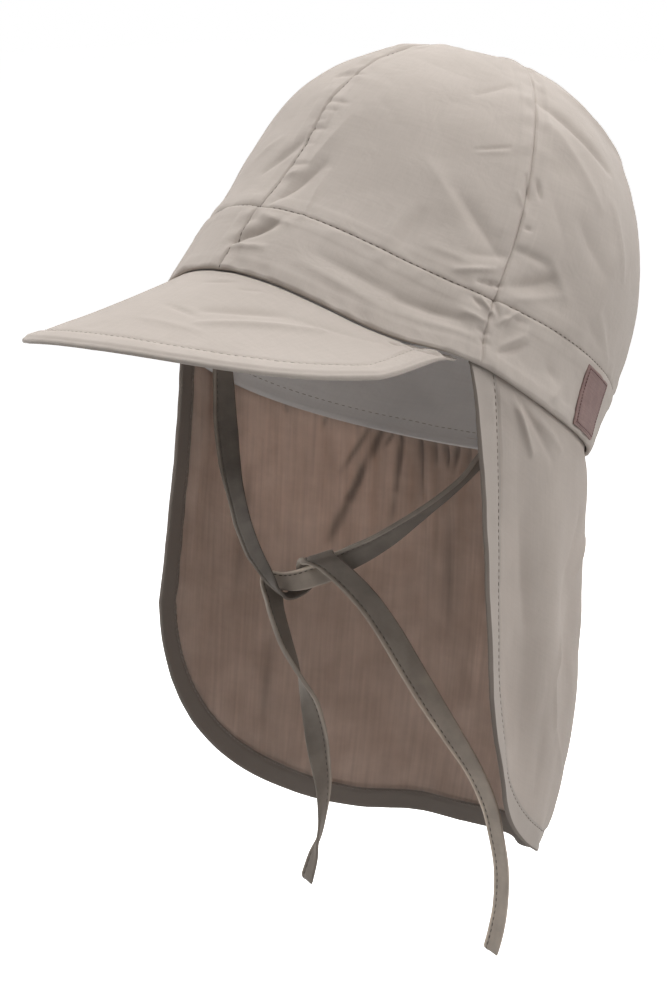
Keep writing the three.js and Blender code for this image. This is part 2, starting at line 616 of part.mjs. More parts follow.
for (const isRight of [false, true]) {
  const hand = isRight ? "right" : "left";
  const front = { fromSeam: centreFront, toSeam: sideSeam, columns: 10, isRight };
  const back = { fromSeam: sideSeam, toSeam: centreBack, columns: 14, isRight };
  const panel = { low: bandTop, high: crownTop, rows: 13 };
  addPiece("panel_front_" + hand, shellPiece({ ...front, ...panel }), shellCloth);
  addPiece("panel_back_" + hand, shellPiece({ ...back, ...panel }), shellCloth);
  const band = { low: 0, high: bandTop, rows: 3 };
  addPiece("band_front_" + hand, shellPiece({ ...front, ...band }), shellCloth);
}
const wholeBack = { fromSeam: sideSeam, toSeam: (level) => mirrored(sideSeam(level)), columns: 36 };
addPiece("band_back", shellPiece({ ...wholeBack, low: 0, high: bandTop, rows: 3 }), shellCloth);
addPiece("lining", liningGeometry(40, 9), liningCloth);
addPiece("peak", peakGeometry(), peakCloth);
addPiece("flap", flapGeometry(), flapCloth);
addPiece("label", labelGeometry(), labelWeave);
addPiece("tie_left", tieGeometry(leftTieRoute), tieCloth);
addPiece("tie_right", tieGeometry(rightTieRoute), tieCloth);

export default cap;
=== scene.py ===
# A small sun cap with a neck flap and two knotted chin ties, in metres. +Z is up, the peak
# points to -Y, and the origin is the middle of the head opening.
import math

import bpy
import numpy as np
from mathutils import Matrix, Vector


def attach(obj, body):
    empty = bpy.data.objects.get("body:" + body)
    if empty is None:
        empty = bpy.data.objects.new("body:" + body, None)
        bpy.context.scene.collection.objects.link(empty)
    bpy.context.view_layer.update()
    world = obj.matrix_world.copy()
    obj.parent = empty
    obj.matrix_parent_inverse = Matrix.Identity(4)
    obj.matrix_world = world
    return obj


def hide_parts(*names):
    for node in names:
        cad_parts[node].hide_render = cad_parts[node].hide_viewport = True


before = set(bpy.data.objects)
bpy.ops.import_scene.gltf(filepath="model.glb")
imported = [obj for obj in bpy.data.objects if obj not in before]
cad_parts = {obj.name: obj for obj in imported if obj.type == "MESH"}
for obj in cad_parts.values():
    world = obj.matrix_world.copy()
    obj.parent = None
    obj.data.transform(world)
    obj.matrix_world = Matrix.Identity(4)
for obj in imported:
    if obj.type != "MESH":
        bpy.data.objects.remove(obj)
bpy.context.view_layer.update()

bodyName = "root"
print("frame loaded:", len(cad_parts), "nodes")

cameraView = {
    "azimuth": 43,          # degrees from straight in front
    "elevation": 10.3,
    "distance": 1.2,
    "lens": 130,
    "target": (-0.016, 0, -0.046),
}


def placeAt(name, data, azimuth, elevation, distance, target=(0, 0, 0)):
    turn, tilt = math.radians(azimuth), math.radians(elevation)
    flat = math.cos(tilt)
    out = Vector((math.sin(turn) * flat, -math.cos(turn) * flat, math.sin(tilt)))
    placed = bpy.data.objects.new(name, data)
    placed.location = Vector(target) + out * distance
    placed.rotation_euler = out.to_track_quat("Z", "Y").to_euler()
    bpy.context.collection.objects.link(placed)
    return placed


camera = bpy.data.cameras.new("photoCamera")
camera.lens = cameraView["lens"]
camera.clip_end = 50
where = [cameraView[key] for key in ("azimuth", "elevation", "distance", "target")]
bpy.context.scene.camera = placeAt("photoCamera", camera, *where)
print("camera placed")


# small tools on arrays
def unit(vectors):
    length = np.linalg.norm(vectors, axis=-1, keepdims=True)
    return vectors / np.maximum(length, 1e-12)


def lerp(start, end, share):
    return start + (end - start) * share


def smooth(start, end, value):
    share = np.clip((value - start) / (end - start), 0, 1)
    return share * share * (3 - 2 * share)


def bump(distance):
    return np.exp(-distance * distance)


def sampleRows(names, rows, at):      # Catmull-Rom through a table's columns
    data = np.array(rows, float)
    data = np.vstack([2 * data[0] - data[1], data, 2 * data[-1] - data[-2]])
    at = np.clip(np.asarray(at, float), 0, len(rows) - 1)
    row = np.minimum(at.astype(int), len(rows) - 2)
    share = (at - row)[..., None]
    a, b, c, d = (data[row + step] for step in range(4))
    square = (2 * a - 5 * b + 4 * c - d) * share ** 2
    cube = (3 * b - a - 3 * c + d) * share ** 3
    value = 0.5 * (2 * b + (c - a) * share + square + cube)
    return {name: value[..., column] for column, name in enumerate(names)}


def softNoise(points, size, seed):    # smooth noise from -1 to 1, the same on each run
    cell = np.asarray(points, float) / size
    base = np.floor(cell).astype(np.int64)
    part = cell - base
    part = part * part * (3 - 2 * part)
    primes = np.array([73856093, 19349663, 83492791])[: cell.shape[-1]]
    total = np.zeros(cell.shape[:-1])
    for corner in np.ndindex(*(2,) * cell.shape[-1]):
        key = ((base + np.array(corner)) * primes).sum(-1) + seed * 40503
        key = ((key ^ (key >> 13)) * 1274126177) & 0x7FFFFFFF
        value = ((key ^ (key >> 15)) & 0xFFFF) / 32767.5 - 1
        total += value * np.prod(np.where(corner, part, 1 - part), -1)
    return total


def layered(points, layers, seed, ridged=False):    # noises on top of each other: lift and size
    total = 0
    for at, (lift, size) in enumerate(layers):
        noise = softNoise(points, size, seed + at)
        total = total + lift * (np.abs(noise) if ridged else noise)
    return total


def puckers(look, along, distance, seed):    # small waves beside a seam, which fade away from it
    share = distance / look["puckerReach"]
    place = [along / look["puckerPitch"] + share * look["puckerSlant"], share * look["puckerDrift"]]
    wave = softNoise(np.stack(place, -1), 1, seed)
    return look["pucker"] * wave * share * np.exp(1 - share)


def runLength(points, axis):          # length along a grid's rows or columns, from its start
    steps = np.linalg.norm(np.diff(points, axis=axis), axis=-1)
    start = np.zeros_like(np.take(steps, [0], axis=axis))
    return np.concatenate([start, np.cumsum(steps, axis=axis)], axis=axis)


def nearestOn(points, line):          # distance to a dense line, and which of its points is nearest
    flat = points.reshape(-1, 3)
    away = np.empty(len(flat))
    which = np.empty(len(flat), int)
    for start in range(0, len(flat), 4000):
        block = ((flat[start:start + 4000, None, :] - line[None, :, :]) ** 2).sum(-1)
        away[start:start + 4000] = np.sqrt(block.min(-1))
        which[start:start + 4000] = block.argmin(-1)
    return away.reshape(points.shape[:-1]), which.reshape(points.shape[:-1])


def denser(count, ends=0.6):          # shares from 0 to 1 that stand closer at both ends
    share = np.linspace(0, 1, count + 1)
    return share - ends * np.sin(2 * np.pi * share) / (2 * np.pi)


# meshes
def gridQuads(rows, columns, wrap=False):
    row, column = np.mgrid[0:rows - 1, 0:columns if wrap else columns - 1]
    here = row * columns + column
    right = row * columns + (column + 1) % columns
    return np.stack([here, right, right + columns, here + columns], -1).reshape(-1, 4)


def meshPiece(name, points, faces, materials, cloth, index=None):    # cloth: metres along the weave
    mesh = bpy.data.meshes.new(name)
    mesh.from_pydata(np.asarray(points).tolist(), [], [list(map(int, face)) for face in faces])
    layer = mesh.uv_layers.new(name="cloth")
    corners = np.empty(len(mesh.loops), np.int32)
    mesh.loops.foreach_get("vertex_index", corners)
    layer.data.foreach_set("uv", np.asarray(cloth)[corners].ravel())
    for material in materials:
        mesh.materials.append(material)
    if index is not None:
        mesh.polygons.foreach_set("material_index", np.asarray(index, np.int32))
    mesh.polygons.foreach_set("use_smooth", np.ones(len(mesh.polygons), bool))
    mesh.update()
    piece = bpy.data.objects.new(name, mesh)
    bpy.context.collection.objects.link(piece)
    return piece


def addMark(piece, mark, values):      # a number at each point, which a material reads
    layer = piece.data.attributes.new(mark, "FLOAT", "POINT")
    layer.data.foreach_set("value", values.astype(np.float32).ravel())


def borderOf(rows, columns):           # round the grid, from its first corner along the first row
    bottom = [(0, column) for column in range(columns - 1)]
    right = [(row, columns - 1) for row in range(rows - 1)]
    top = [(rows - 1, column) for column in range(columns - 1, 0, -1)]
    left = [(row, 0) for row in range(rows - 1, 0, -1)]
    return np.array(bottom + right + top + left)


def wallPiece(name, outer, inner, cloth, materials, rounding, marks=None):
    rows, columns = outer.shape[:2]
    count = rows * columns
    quads = gridQuads(rows, columns)
    border = borderOf(rows, columns)
    row, column = border[:, 0], border[:, 1]
    inRow = np.clip(row, 1, rows - 2)
    inColumn = np.clip(column, 1, columns - 2)
    edgeOut = outer[row, column]
    edgeIn = inner[row, column]
    away = unit(edgeOut + edgeIn - outer[inRow, inColumn] - inner[inRow, inColumn])
    half = np.linalg.norm(edgeOut - edgeIn, axis=-1, keepdims=True) / 2
    turns = (0.25 * np.pi, 0.5 * np.pi, 0.75 * np.pi)
    rings = [row * columns + column]
    points = [outer.reshape(-1, 3), inner.reshape(-1, 3)]
    flatCloth = cloth.reshape(-1, 2)
    uv = [flatCloth, flatCloth]
    for at, turn in enumerate(turns):
        middle = (edgeOut + edgeIn) / 2 + (edgeOut - edgeIn) / 2 * math.cos(turn)
        points.append(middle + away * half * math.sin(turn) * rounding)
        uv.append(cloth[row, column])
        rings.append(2 * count + at * len(border) + np.arange(len(border)))
    rings.append(count + row * columns + column)
    rim = [
        np.stack([a, b, np.roll(b, -1), np.roll(a, -1)], -1)
        for a, b in zip(rings[:-1], rings[1:])
    ]
    faces = np.concatenate([quads, quads[:, ::-1] + count] + rim)
    index = np.full(len(faces), len(materials) - 1)
    index[:len(quads)] = 0             # the first material outside, the last inside and on the rim
    points = np.concatenate(points)
    piece = meshPiece(name, points, faces, materials, np.concatenate(uv), index)
    for mark, (grid, atRim) in (marks or {}).items():
        values = np.full(len(points), float(atRim))
        values[:2 * count] = np.concatenate([grid.ravel(), grid.ravel()])
        addMark(piece, mark, values)
    return piece


def keep(piece, slot, *nodes):         # a finished piece rides on the body and stands for its nodes, which are hidden; its slot is not used
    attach(piece, bodyName)
    if nodes:
        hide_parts(*nodes)


# materials
wavesPerMetre = 0.314          # scale of a wave texture whose waves are one metre long, about pi / 10


def addNode(tree, kind, values=(), **settings):    # each value is a number or another node's output
    node = tree.nodes.new(kind)
    for name, value in settings.items():
        setattr(node, name, value)
    for name, value in dict(values).items():
        if isinstance(value, bpy.types.NodeSocket):
            tree.links.new(value, node.inputs[name])
        else:
            node.inputs[name].default_value = value
    return node


def outOf(tree, kind, output, values=(), **settings):
    return addNode(tree, kind, values, **settings).outputs[output]


def emptyMaterial(name):
    material = bpy.data.materials.new(name)
    material.use_nodes = True
    material.node_tree.nodes.clear()
    return material, material.node_tree


def clothMaterial(name, look):         # woven cloth: colour, weave, slubs, fine creases and glow
    material, tree = emptyMaterial(name)
    place = outOf(tree, "ShaderNodeTexCoord", "Object")
    along = outOf(tree, "ShaderNodeUVMap", "UV", uv_map="cloth")

    # broad clouds of colour over the cloth, in the colours worn and clean
    clouds = outOf(tree, "ShaderNodeTexNoise", "Fac", {
        "Vector": place, "Scale": 1 / look["cloudSize"], "Detail": 3,
    })
    spread = outOf(tree, "ShaderNodeMapRange", "Result", {
        "Value": clouds, "From Min": 0.35, "From Max": 0.65,
    })
    colour = outOf(tree, "ShaderNodeMix", "Result", {
        "Factor": spread, "A": (*look["colour"], 1), "B": (*look["tint"], 1),
    }, data_type="RGBA")

    # slubs: long thin streaks along both threads
    streaks = []
    for stretch in ((1, 0.06, 1), (0.06, 1, 1)):
        stretched = outOf(tree, "ShaderNodeMapping", "Vector", {"Vector": along, "Scale": stretch})
        streaks.append(outOf(tree, "ShaderNodeTexNoise", "Fac", {
            "Vector": stretched, "Scale": 1 / look["slubSize"], "Detail": 2,
        }))
    both = outOf(tree, "ShaderNodeMath", "Value", {
        0: streaks[1], 1: look["crossSlub"], 2: streaks[0],
    }, operation="MULTIPLY_ADD")
    tone = outOf(tree, "ShaderNodeMapRange", "Result", {
        "Value": both,
        "From Min": 0.2 + 0.5 * look["crossSlub"],
        "From Max": 0.8 + 0.5 * look["crossSlub"],
        "To Min": 1 - look["slubTone"],
        "To Max": 1 + look["slubTone"],
    })
    if look["shaded"]:                 # painted light and shade: the attribute "shade" scales the colour and the glow
        layers = outOf(tree, "ShaderNodeAttribute", "Fac", attribute_name="shade")
        tone = outOf(tree, "ShaderNodeMath", "Value", {0: tone, 1: layers}, operation="MULTIPLY")
    multiply = {"data_type": "RGBA", "blend_type": "MULTIPLY"}
    colour = outOf(tree, "ShaderNodeMix", "Result", {
        "Factor": 1, "A": colour, "B": tone,
    }, **multiply)
    if look["hemWidth"] > 0:           # the folded hem lets no light through and takes its own colour, darker on the flap's inside as painted shade
        reach = outOf(tree, "ShaderNodeAttribute", "Fac", attribute_name="fromEdge")
        folded = outOf(tree, "ShaderNodeMapRange", "Result", {
            "Value": reach, "To Min": 1, "To Max": 0,
            "From Min": look["hemWidth"] - 0.0003, "From Max": look["hemWidth"],
        })
        single = outOf(tree, "ShaderNodeMath", "Value", {0: 1, 1: folded}, operation="SUBTRACT")
        tone = outOf(tree, "ShaderNodeMath", "Value", {0: tone, 1: single}, operation="MULTIPLY")
        colour = outOf(tree, "ShaderNodeMix", "Result", {
            "Factor": folded, "A": colour, "B": (*look["hemColour"], 1),
        }, data_type="RGBA")

    # relief: fine creases first, then slubs, then the two threads of the weave
    creases = outOf(tree, "ShaderNodeTexNoise", "Fac", {
        "Vector": place, "Scale": 1 / look["creaseSize"], "Detail": 4, "Distortion": 0.6,
    })
    threads = {}
    for at, direction in enumerate(("X", "Y")):
        threads[at] = outOf(tree, "ShaderNodeTexWave", "Fac", {
            "Vector": along, "Scale": wavesPerMetre / look["threadPitch"],
            "Distortion": 0.4, "Detail Scale": 2,
        }, bands_direction=direction)
    weave = outOf(tree, "ShaderNodeMath", "Value", threads, operation="ADD")
    relief = {}
    for source, depth in ((creases, "creaseDepth"), (both, "slubDepth"), (weave, "threadDepth")):
        relief["Normal"] = outOf(tree, "ShaderNodeBump", "Normal", {
            "Strength": 1, "Distance": look[depth], "Height": source, **relief,
        })
    result = outOf(tree, "ShaderNodeBsdfPrincipled", "BSDF", {
        "Base Color": colour,
        "Roughness": look["roughness"],
        "Specular IOR Level": look["shine"],
        "Sheen Weight": look["sheen"],
        "Sheen Roughness": 0.5,
        **relief,
    })

    if look["glow"] > 0:               # light that comes through thin cloth
        glow = outOf(tree, "ShaderNodeMix", "Result", {
            "Factor": 1, "A": (*look["glowColour"], 1), "B": tone,
        }, **multiply)
        through = outOf(tree, "ShaderNodeBsdfTranslucent", "BSDF", {"Color": glow, **relief})
        result = outOf(tree, "ShaderNodeMixShader", "Shader", {
            "Fac": look["glow"], 1: result, 2: through,
        })
    addNode(tree, "ShaderNodeOutputMaterial", {"Surface": result})
    return material


poplin = {
    "colour": (0.46, 0.407, 0.366),
    "tint": (0.44, 0.388, 0.347),
    "roughness": 0.82,
    "shine": 0.25,
    "sheen": 0.08,
    "cloudSize": 0.03,
    "slubSize": 0.0009,
    "slubTone": 0.022,
    "crossSlub": 1.0,          # share of the streaks along the weft
    "slubDepth": 0.000018,
    "creaseSize": 0.011,
    "creaseDepth": 0.0004,
    "threadPitch": 0.00034,
    "threadDepth": 0.00002,
    "shaded": False,           # reads the attribute "shade", painted light and shade
    "hemWidth": 0.0,           # where the attribute "fromEdge" ends the folded hem
    "glow": 0.0,               # share of the light that comes through
    "glowColour": (0.60, 0.45, 0.38),
    "hemColour": (0.535, 0.473, 0.425),
}
crownCloth = clothMaterial("taupePoplin", poplin)
peakCloth = clothMaterial("stiffenedPoplin", {**poplin, "creaseDepth": 0.0003})
liningCloth = clothMaterial("greyLining", {
    **poplin,
    "colour": (0.86, 0.835, 0.82),
    "tint": (0.79, 0.77, 0.76),
})
flapOuter = clothMaterial("flapPoplin", {
    **poplin,
    "colour": (0.55, 0.492, 0.443),
    "tint": (0.51, 0.454, 0.408),
    "glow": 0.14,
    "hemWidth": 0.0073,
})
# the flap's inside: the same poplin, its colour darker than the outside's once the glow takes its share:
# painted shade
flapInner = clothMaterial("flapPoplinInside", {
    **poplin,
    "colour": (0.56, 0.49, 0.44),
    "tint": (0.42, 0.365, 0.325),
    "cloudSize": 0.012,
    "shaded": True,
    "slubSize": 0.0022,
    "slubTone": 0.11,
    "crossSlub": 0.2,
    "glow": 0.35,
    "glowColour": (0.88, 0.71, 0.62),
    "hemWidth": 0.0073,
    # the inner hem darker still: painted shade
    "hemColour": (0.36, 0.305, 0.265),
})
# the ties' poplin, darker than the crown's: painted shade, which the attribute "shade" lifts where the ties
# are lit
tieCloth = clothMaterial("tieTape", {
    **poplin,
    "colour": (0.265, 0.228, 0.193),
    "tint": (0.21, 0.18, 0.153),
    "cloudSize": 0.008,
    "shaded": True,
})
labelWeave = clothMaterial("wovenLabel", {
    **poplin,
    "colour": (0.26, 0.17, 0.155),
    "tint": (0.235, 0.152, 0.14),
    "cloudSize": 0.004,
    "slubSize": 0.0005,
    "slubTone": 0.12,
    "threadPitch": 0.0004,
    "threadDepth": 0.00008,
})


def threadMaterial(name, colour):
    material, tree = emptyMaterial(name)
    place = outOf(tree, "ShaderNodeTexCoord", "Object")
    noise = outOf(tree, "ShaderNodeTexNoise", "Fac", {"Vector": place, "Scale": 900, "Detail": 2})
    shades = {"Factor": noise}
    for end, share in (("A", 0.8), ("B", 1.2)):
        shades[end] = (*(part * share for part in colour), 1)
    relief = {"Strength": 0.6, "Distance": 0.00005, "Height": noise}
    surface = outOf(tree, "ShaderNodeBsdfPrincipled", "BSDF", {
        "Base Color": outOf(tree, "ShaderNodeMix", "Result", shades, data_type="RGBA"),
        "Roughness": 0.6,
        "Sheen Weight": 0.1,
        "Normal": outOf(tree, "ShaderNodeBump", "Normal", relief),
    })
    addNode(tree, "ShaderNodeOutputMaterial", {"Surface": surface})
    return material


darkThread = threadMaterial("darkThread", (0.11, 0.088, 0.07))
softThread = threadMaterial("softThread", (0.23, 0.195, 0.165))
paleThread = threadMaterial("paleThread", (0.42, 0.375, 0.33))
redThread = threadMaterial("redThread", (0.11, 0.04, 0.035))
print("materials made")


# stitches, as rows of short threads along a line
def stitchTree():
    tree = bpy.data.node_groups.new("stitchRow", "GeometryNodeTree")
    kinds = {"Line": "Geometry", "Pitch": "Float", "Length": "Float", "Width": "Float"}
    for name, kind in {**kinds, "Seed": "Int", "Thread": "Material"}.items():
        tree.interface.new_socket(name, in_out="INPUT", socket_type="NodeSocket" + kind)
    tree.interface.new_socket("Stitches", in_out="OUTPUT", socket_type="NodeSocketGeometry")
    given = addNode(tree, "NodeGroupInput").outputs
    curve = outOf(tree, "GeometryNodeMeshToCurve", "Curve", {"Mesh": given["Line"]})
    places = addNode(tree, "GeometryNodeCurveToPoints", {
        "Curve": curve, "Length": given["Pitch"],
    }, mode="LENGTH").outputs
    ball = outOf(tree, "GeometryNodeMeshUVSphere", "Mesh", {
        "Segments": 6, "Rings": 5, "Radius": 0.5,
    })
    size = outOf(tree, "ShaderNodeCombineXYZ", "Vector", {
        "X": given["Width"], "Y": given["Width"], "Z": given["Length"],
    })
    thread = outOf(tree, "GeometryNodeTransform", "Geometry", {"Geometry": ball, "Scale": size})
    soft = outOf(tree, "GeometryNodeSetShadeSmooth", "Geometry", {"Geometry": thread})
    turn = outOf(tree, "FunctionNodeAlignRotationToVector", "Rotation", {
        "Vector": places["Tangent"],
    }, axis="Z")
    vary = outOf(tree, "FunctionNodeRandomValue", 1, {
        2: 0.85, 3: 1.1, "Seed": given["Seed"],
    }, data_type="FLOAT")
    rows = outOf(tree, "GeometryNodeInstanceOnPoints", "Instances", {
        "Points": places["Points"], "Instance": soft, "Rotation": turn, "Scale": vary,
    })
    real = outOf(tree, "GeometryNodeRealizeInstances", "Geometry", {"Geometry": rows})
    dressed = outOf(tree, "GeometryNodeSetMaterial", "Geometry", {
        "Geometry": real, "Material": given["Thread"],
    })
    addNode(tree, "NodeGroupOutput", {"Stitches": dressed})
    return tree


stitches = stitchTree()


def stitchPoint(distances, wanted, face, normal, out):    # where a row of points lies that far in
    if distances.max() < wanted or distances[0] >= wanted:
        return None
    at = int(np.argmax(distances >= wanted))
    part = (wanted - distances[at - 1]) / (distances[at] - distances[at - 1])
    return lerp(face[at - 1], face[at], part) + normal[at] * out


def stitchPiece(name, lines, thread, pitch=0.0024, length=0.0016, width=0.00042, seed=1):
    points = np.concatenate(lines)
    edges = []
    start = 0
    for line in lines:
        edges += [(start + at, start + at + 1) for at in range(len(line) - 1)]
        start += len(line)
    mesh = bpy.data.meshes.new(name + "Line")
    mesh.from_pydata(points.tolist(), edges, [])
    row = bpy.data.objects.new(name, mesh)
    bpy.context.collection.objects.link(row)
    modifier = row.modifiers.new("stitchRow", "NODES")
    modifier.node_group = stitches
    values = {"Pitch": pitch, "Length": length, "Width": width, "Seed": seed, "Thread": thread}
    for socket in stitches.interface.items_tree:
        if socket.in_out == "INPUT" and socket.name in values:
            modifier[socket.identifier] = values[socket.name]
    bpy.context.view_layer.update()
    evaluated = row.evaluated_get(bpy.context.evaluated_depsgraph_get())
    made = bpy.data.meshes.new_from_object(evaluated)
    made.name = name
    row.modifiers.clear()
    row.data = made
    return row


# ties: flat folded tapes on the same routes as their solids. Each row is aside, up, near, slant,
# turn and wide: aside is to the cap's left and back, near is to the left front, slant and turn
# lay the tape's width, and wide is that width's share where a fold runs aslant.
tie = {
    "turn": 43,
    "width": 0.0074,
    "half": 0.00052,        # half the thickness in the middle
    "foldHalf": 0.00042,    # half the thickness at the folded edge
    "lipHalf": 0.00078,     # half the thickness of the rolled lip at the sewn edge
    "seamInset": 0.0015,    # sewn edge to the middle of the stitches
    "seamDepth": 0.0003,
    "seamWidth": 0.0004,
    "lipStart": 0.0006,     # sewn edge to where the lip is thickest
    "foldStart": -0.7,
    "endLength": 0.0009,    # the last stretch, which thins to a share of its thickness
    "endShare": 0.25,
    "ripple": 0.00012,
    "rippleSize": 0.006,
    "waver": 0.0002,        # how its width varies
    "waverSize": 0.02,
    "stitchOut": 0.00008,
    "stepsPerRow": 8,
    "lipHighlight": 0.8,         # painted highlight: how much lighter the rolled lip is painted
}
routeNames = ("aside", "up", "near", "slant", "turn", "wide")
rightTieRoute = [
    (-0.0486, 0.0030, -0.0514, 180, 38, 1),
    (-0.0495, -0.0060, -0.0522, 180, 32, 1),
    (-0.0491, -0.0158, -0.0512, 180, 4, 1),
    (-0.0488, -0.0235, -0.0492, 180, 0, 1.09),
    (-0.0481, -0.0306, -0.0466, 185, 0, 1.08),
    (-0.0472, -0.0377, -0.0420, 187, -4, 1.03),
    (-0.0460, -0.0433, -0.0360, 192, -23, 1),
    (-0.0442, -0.0490, -0.0280, 194, -33, 1),
    (-0.0422, -0.0542, -0.0160, 199, -33, 1),
    (-0.0399, -0.0580, -0.0045, 198, -35, 1),
    (-0.0375, -0.0615, 0.0050, 196, -36, 1),
    (-0.0349, -0.0644, 0.0115, 189, -43, 1),
    (-0.0325, -0.0673, 0.0160, 189, -57, 1),
    (-0.0305, -0.0698, 0.0178, 194, -73, 1),
    (-0.0271, -0.0734, 0.0142, 265, -90, 1),
    (-0.0233, -0.0716, 0.0104, 315, -128, 1),
    (-0.0209, -0.0686, 0.0096, 326, -160, 1),
    (-0.0196, -0.0647, 0.0116, 344, -180, 1.2),
    (-0.0175, -0.0592, 0.0182, 376, -180, 1.48),
    (-0.0168, -0.0594, 0.0222, 374, -180, 1.55),
    (-0.0145, -0.0602, 0.0236, 369, -180, 1.48),
    (-0.0118, -0.0618, 0.0239, 364, -180, 1.43),
    (-0.0092, -0.0641, 0.0238, 367, -180, 1.34),
    (-0.0060, -0.0671, 0.0240, 370, -180, 1.25),
    (-0.0026, -0.0707, 0.0243, 384, -180, 1.1),
    (0.0013, -0.0754, 0.0247, 396, -180, 1.06),
    (0.0069, -0.0838, 0.0253, 391, -180, 1.09),
    (0.0126, -0.0935, 0.0263, 392, -180, 1.09),
    (0.0191, -0.1042, 0.0276, 392, -180, 1.06),
    (0.0270, -0.1164, 0.0303, 387, -163, 1),
    (0.0341, -0.1276, 0.0326, 369, -145, 1),
    (0.0388, -0.1380, 0.0352, 371, -134, 1),
    (0.0411, -0.1475, 0.0376, 368, -128, 1),
    (0.0428, -0.1584, 0.0394, 360, -125, 1),
    (0.0426, -0.1700, 0.0400, 350, -123, 1),
    (0.0412, -0.1789, 0.0402, 346, -125, 1),
    (0.0394, -0.1860, 0.0402, 343, -124, 1),
]
leftTieRoute = [
    (0.0553, -0.0050, 0.0455, 150, 48, 1),
    (0.0464, -0.0131, 0.0438, 131, 38, 1.09),
    (0.0371, -0.0215, 0.0417, 128, 50, 1),
    (0.0302, -0.0299, 0.0392, 121, 63, 1),
    (0.0242, -0.0359, 0.0366, 126, 61, 1),
    (0.0190, -0.0406, 0.0337, 124, 57, 1),
    (0.0130, -0.0458, 0.0304, 125, 47, 1),
    (0.0074, -0.0504, 0.0276, 120, 33, 1),
    (0.0011, -0.0549, 0.0246, 118, 21, 1),
    (-0.0054, -0.0588, 0.0214, 116, 0, 1.01),
    (-0.0109, -0.0619, 0.0190, 116, -4, 1.02),
    (-0.0150, -0.0648, 0.0174, 121, -16, 1),
    (-0.0186, -0.0662, 0.0166, 117, -26, 1.01),
    (-0.0221, -0.0676, 0.0154, 112, -36, 1.02),
    (-0.0254, -0.0685, 0.0138, 107, -44, 1.02),
    (-0.0283, -0.0690, 0.0114, 103, -46, 1),
    (-0.0307, -0.0688, 0.0100, 111, -40, 1),
    (-0.0321, -0.0690, 0.0090, 128, -28, 1),
    (-0.0325, -0.0702, 0.0088, 154, -10, 1),
    (-0.0320, -0.0719, 0.0092, 170, 14, 1),
    (-0.0313, -0.0741, 0.0106, 189, 34, 1),
    (-0.0303, -0.0788, 0.0136, 190, 49, 1),
    (-0.0272, -0.0880, 0.0173, 196, 62, 1),
    (-0.0238, -0.0957, 0.0190, 205, 84, 1),
    (-0.0218, -0.1012, 0.0195, 200, 108, 1),
    (-0.0195, -0.1078, 0.0200, 192, 142, 1),
    (-0.0178, -0.1159, 0.0200, 188, 168, 1),
    (-0.0163, -0.1260, 0.0200, 185, 206, 1),
    (-0.0151, -0.1365, 0.0200, 180, 233, 1),
    (-0.0156, -0.1470, 0.0200, 177, 256, 1),
    (-0.0168, -0.1540, 0.0205, 172, 266, 1),
    (-0.0183, -0.1596, 0.0210, 166, 288, 1),
    (-0.0205, -0.1675, 0.0215, 163, 297, 1),
]


def tieFrames(route, stepsPerRow):
    turn = math.radians(tie["turn"])
    aside = np.array([math.cos(turn), math.sin(turn), 0])
    near = np.array([math.sin(turn), -math.cos(turn), 0])
    up = np.array([0, 0, 1.0])
    row = sampleRows(routeNames, route, np.arange((len(route) - 1) * stepsPerRow + 1) / stepsPerRow)
    column = {name: values[:, None] for name, values in row.items()}
    middles = column["aside"] * aside + column["up"] * up + column["near"] * near
    slant, swing = np.radians(column["slant"]), np.radians(column["turn"])
    across = np.cos(slant) * np.cos(swing) * aside + np.sin(slant) * np.cos(swing) * up
    across = across + np.sin(swing) * near
    along = np.gradient(middles, axis=0)
    normal = unit(np.cross(across, along))
    reach = column["wide"] * tie["width"] / 2
    return middles, across, normal, reach


# stations across the tape, from the folded edge, -1, to the sewn one, 1
tieStations = [-1, -0.985, -0.95, -0.9, -0.7, -0.35, 0, 0.3, 0.42, 0.5, 0.56, 0.6, 0.66]
tieStations += [0.74, 0.82, 0.9, 0.95, 0.985, 1]


def tieSection(share):                  # half thickness from the folded edge, -1, to the sewn one, 1
    inset = (1 - share) * tie["width"] / 2
    lip = smooth(tie["seamInset"], tie["lipStart"], inset)
    half = lerp(tie["half"], tie["lipHalf"], lip)
    half = lerp(half, tie["foldHalf"], smooth(tie["foldStart"], -1, share))
    half = half - tie["seamDepth"] * bump((inset - tie["seamInset"]) / tie["seamWidth"])
    return half * np.sqrt(np.clip(1 - np.clip(np.abs(share) * 12 - 11, 0, 1) ** 2, 0, 1))


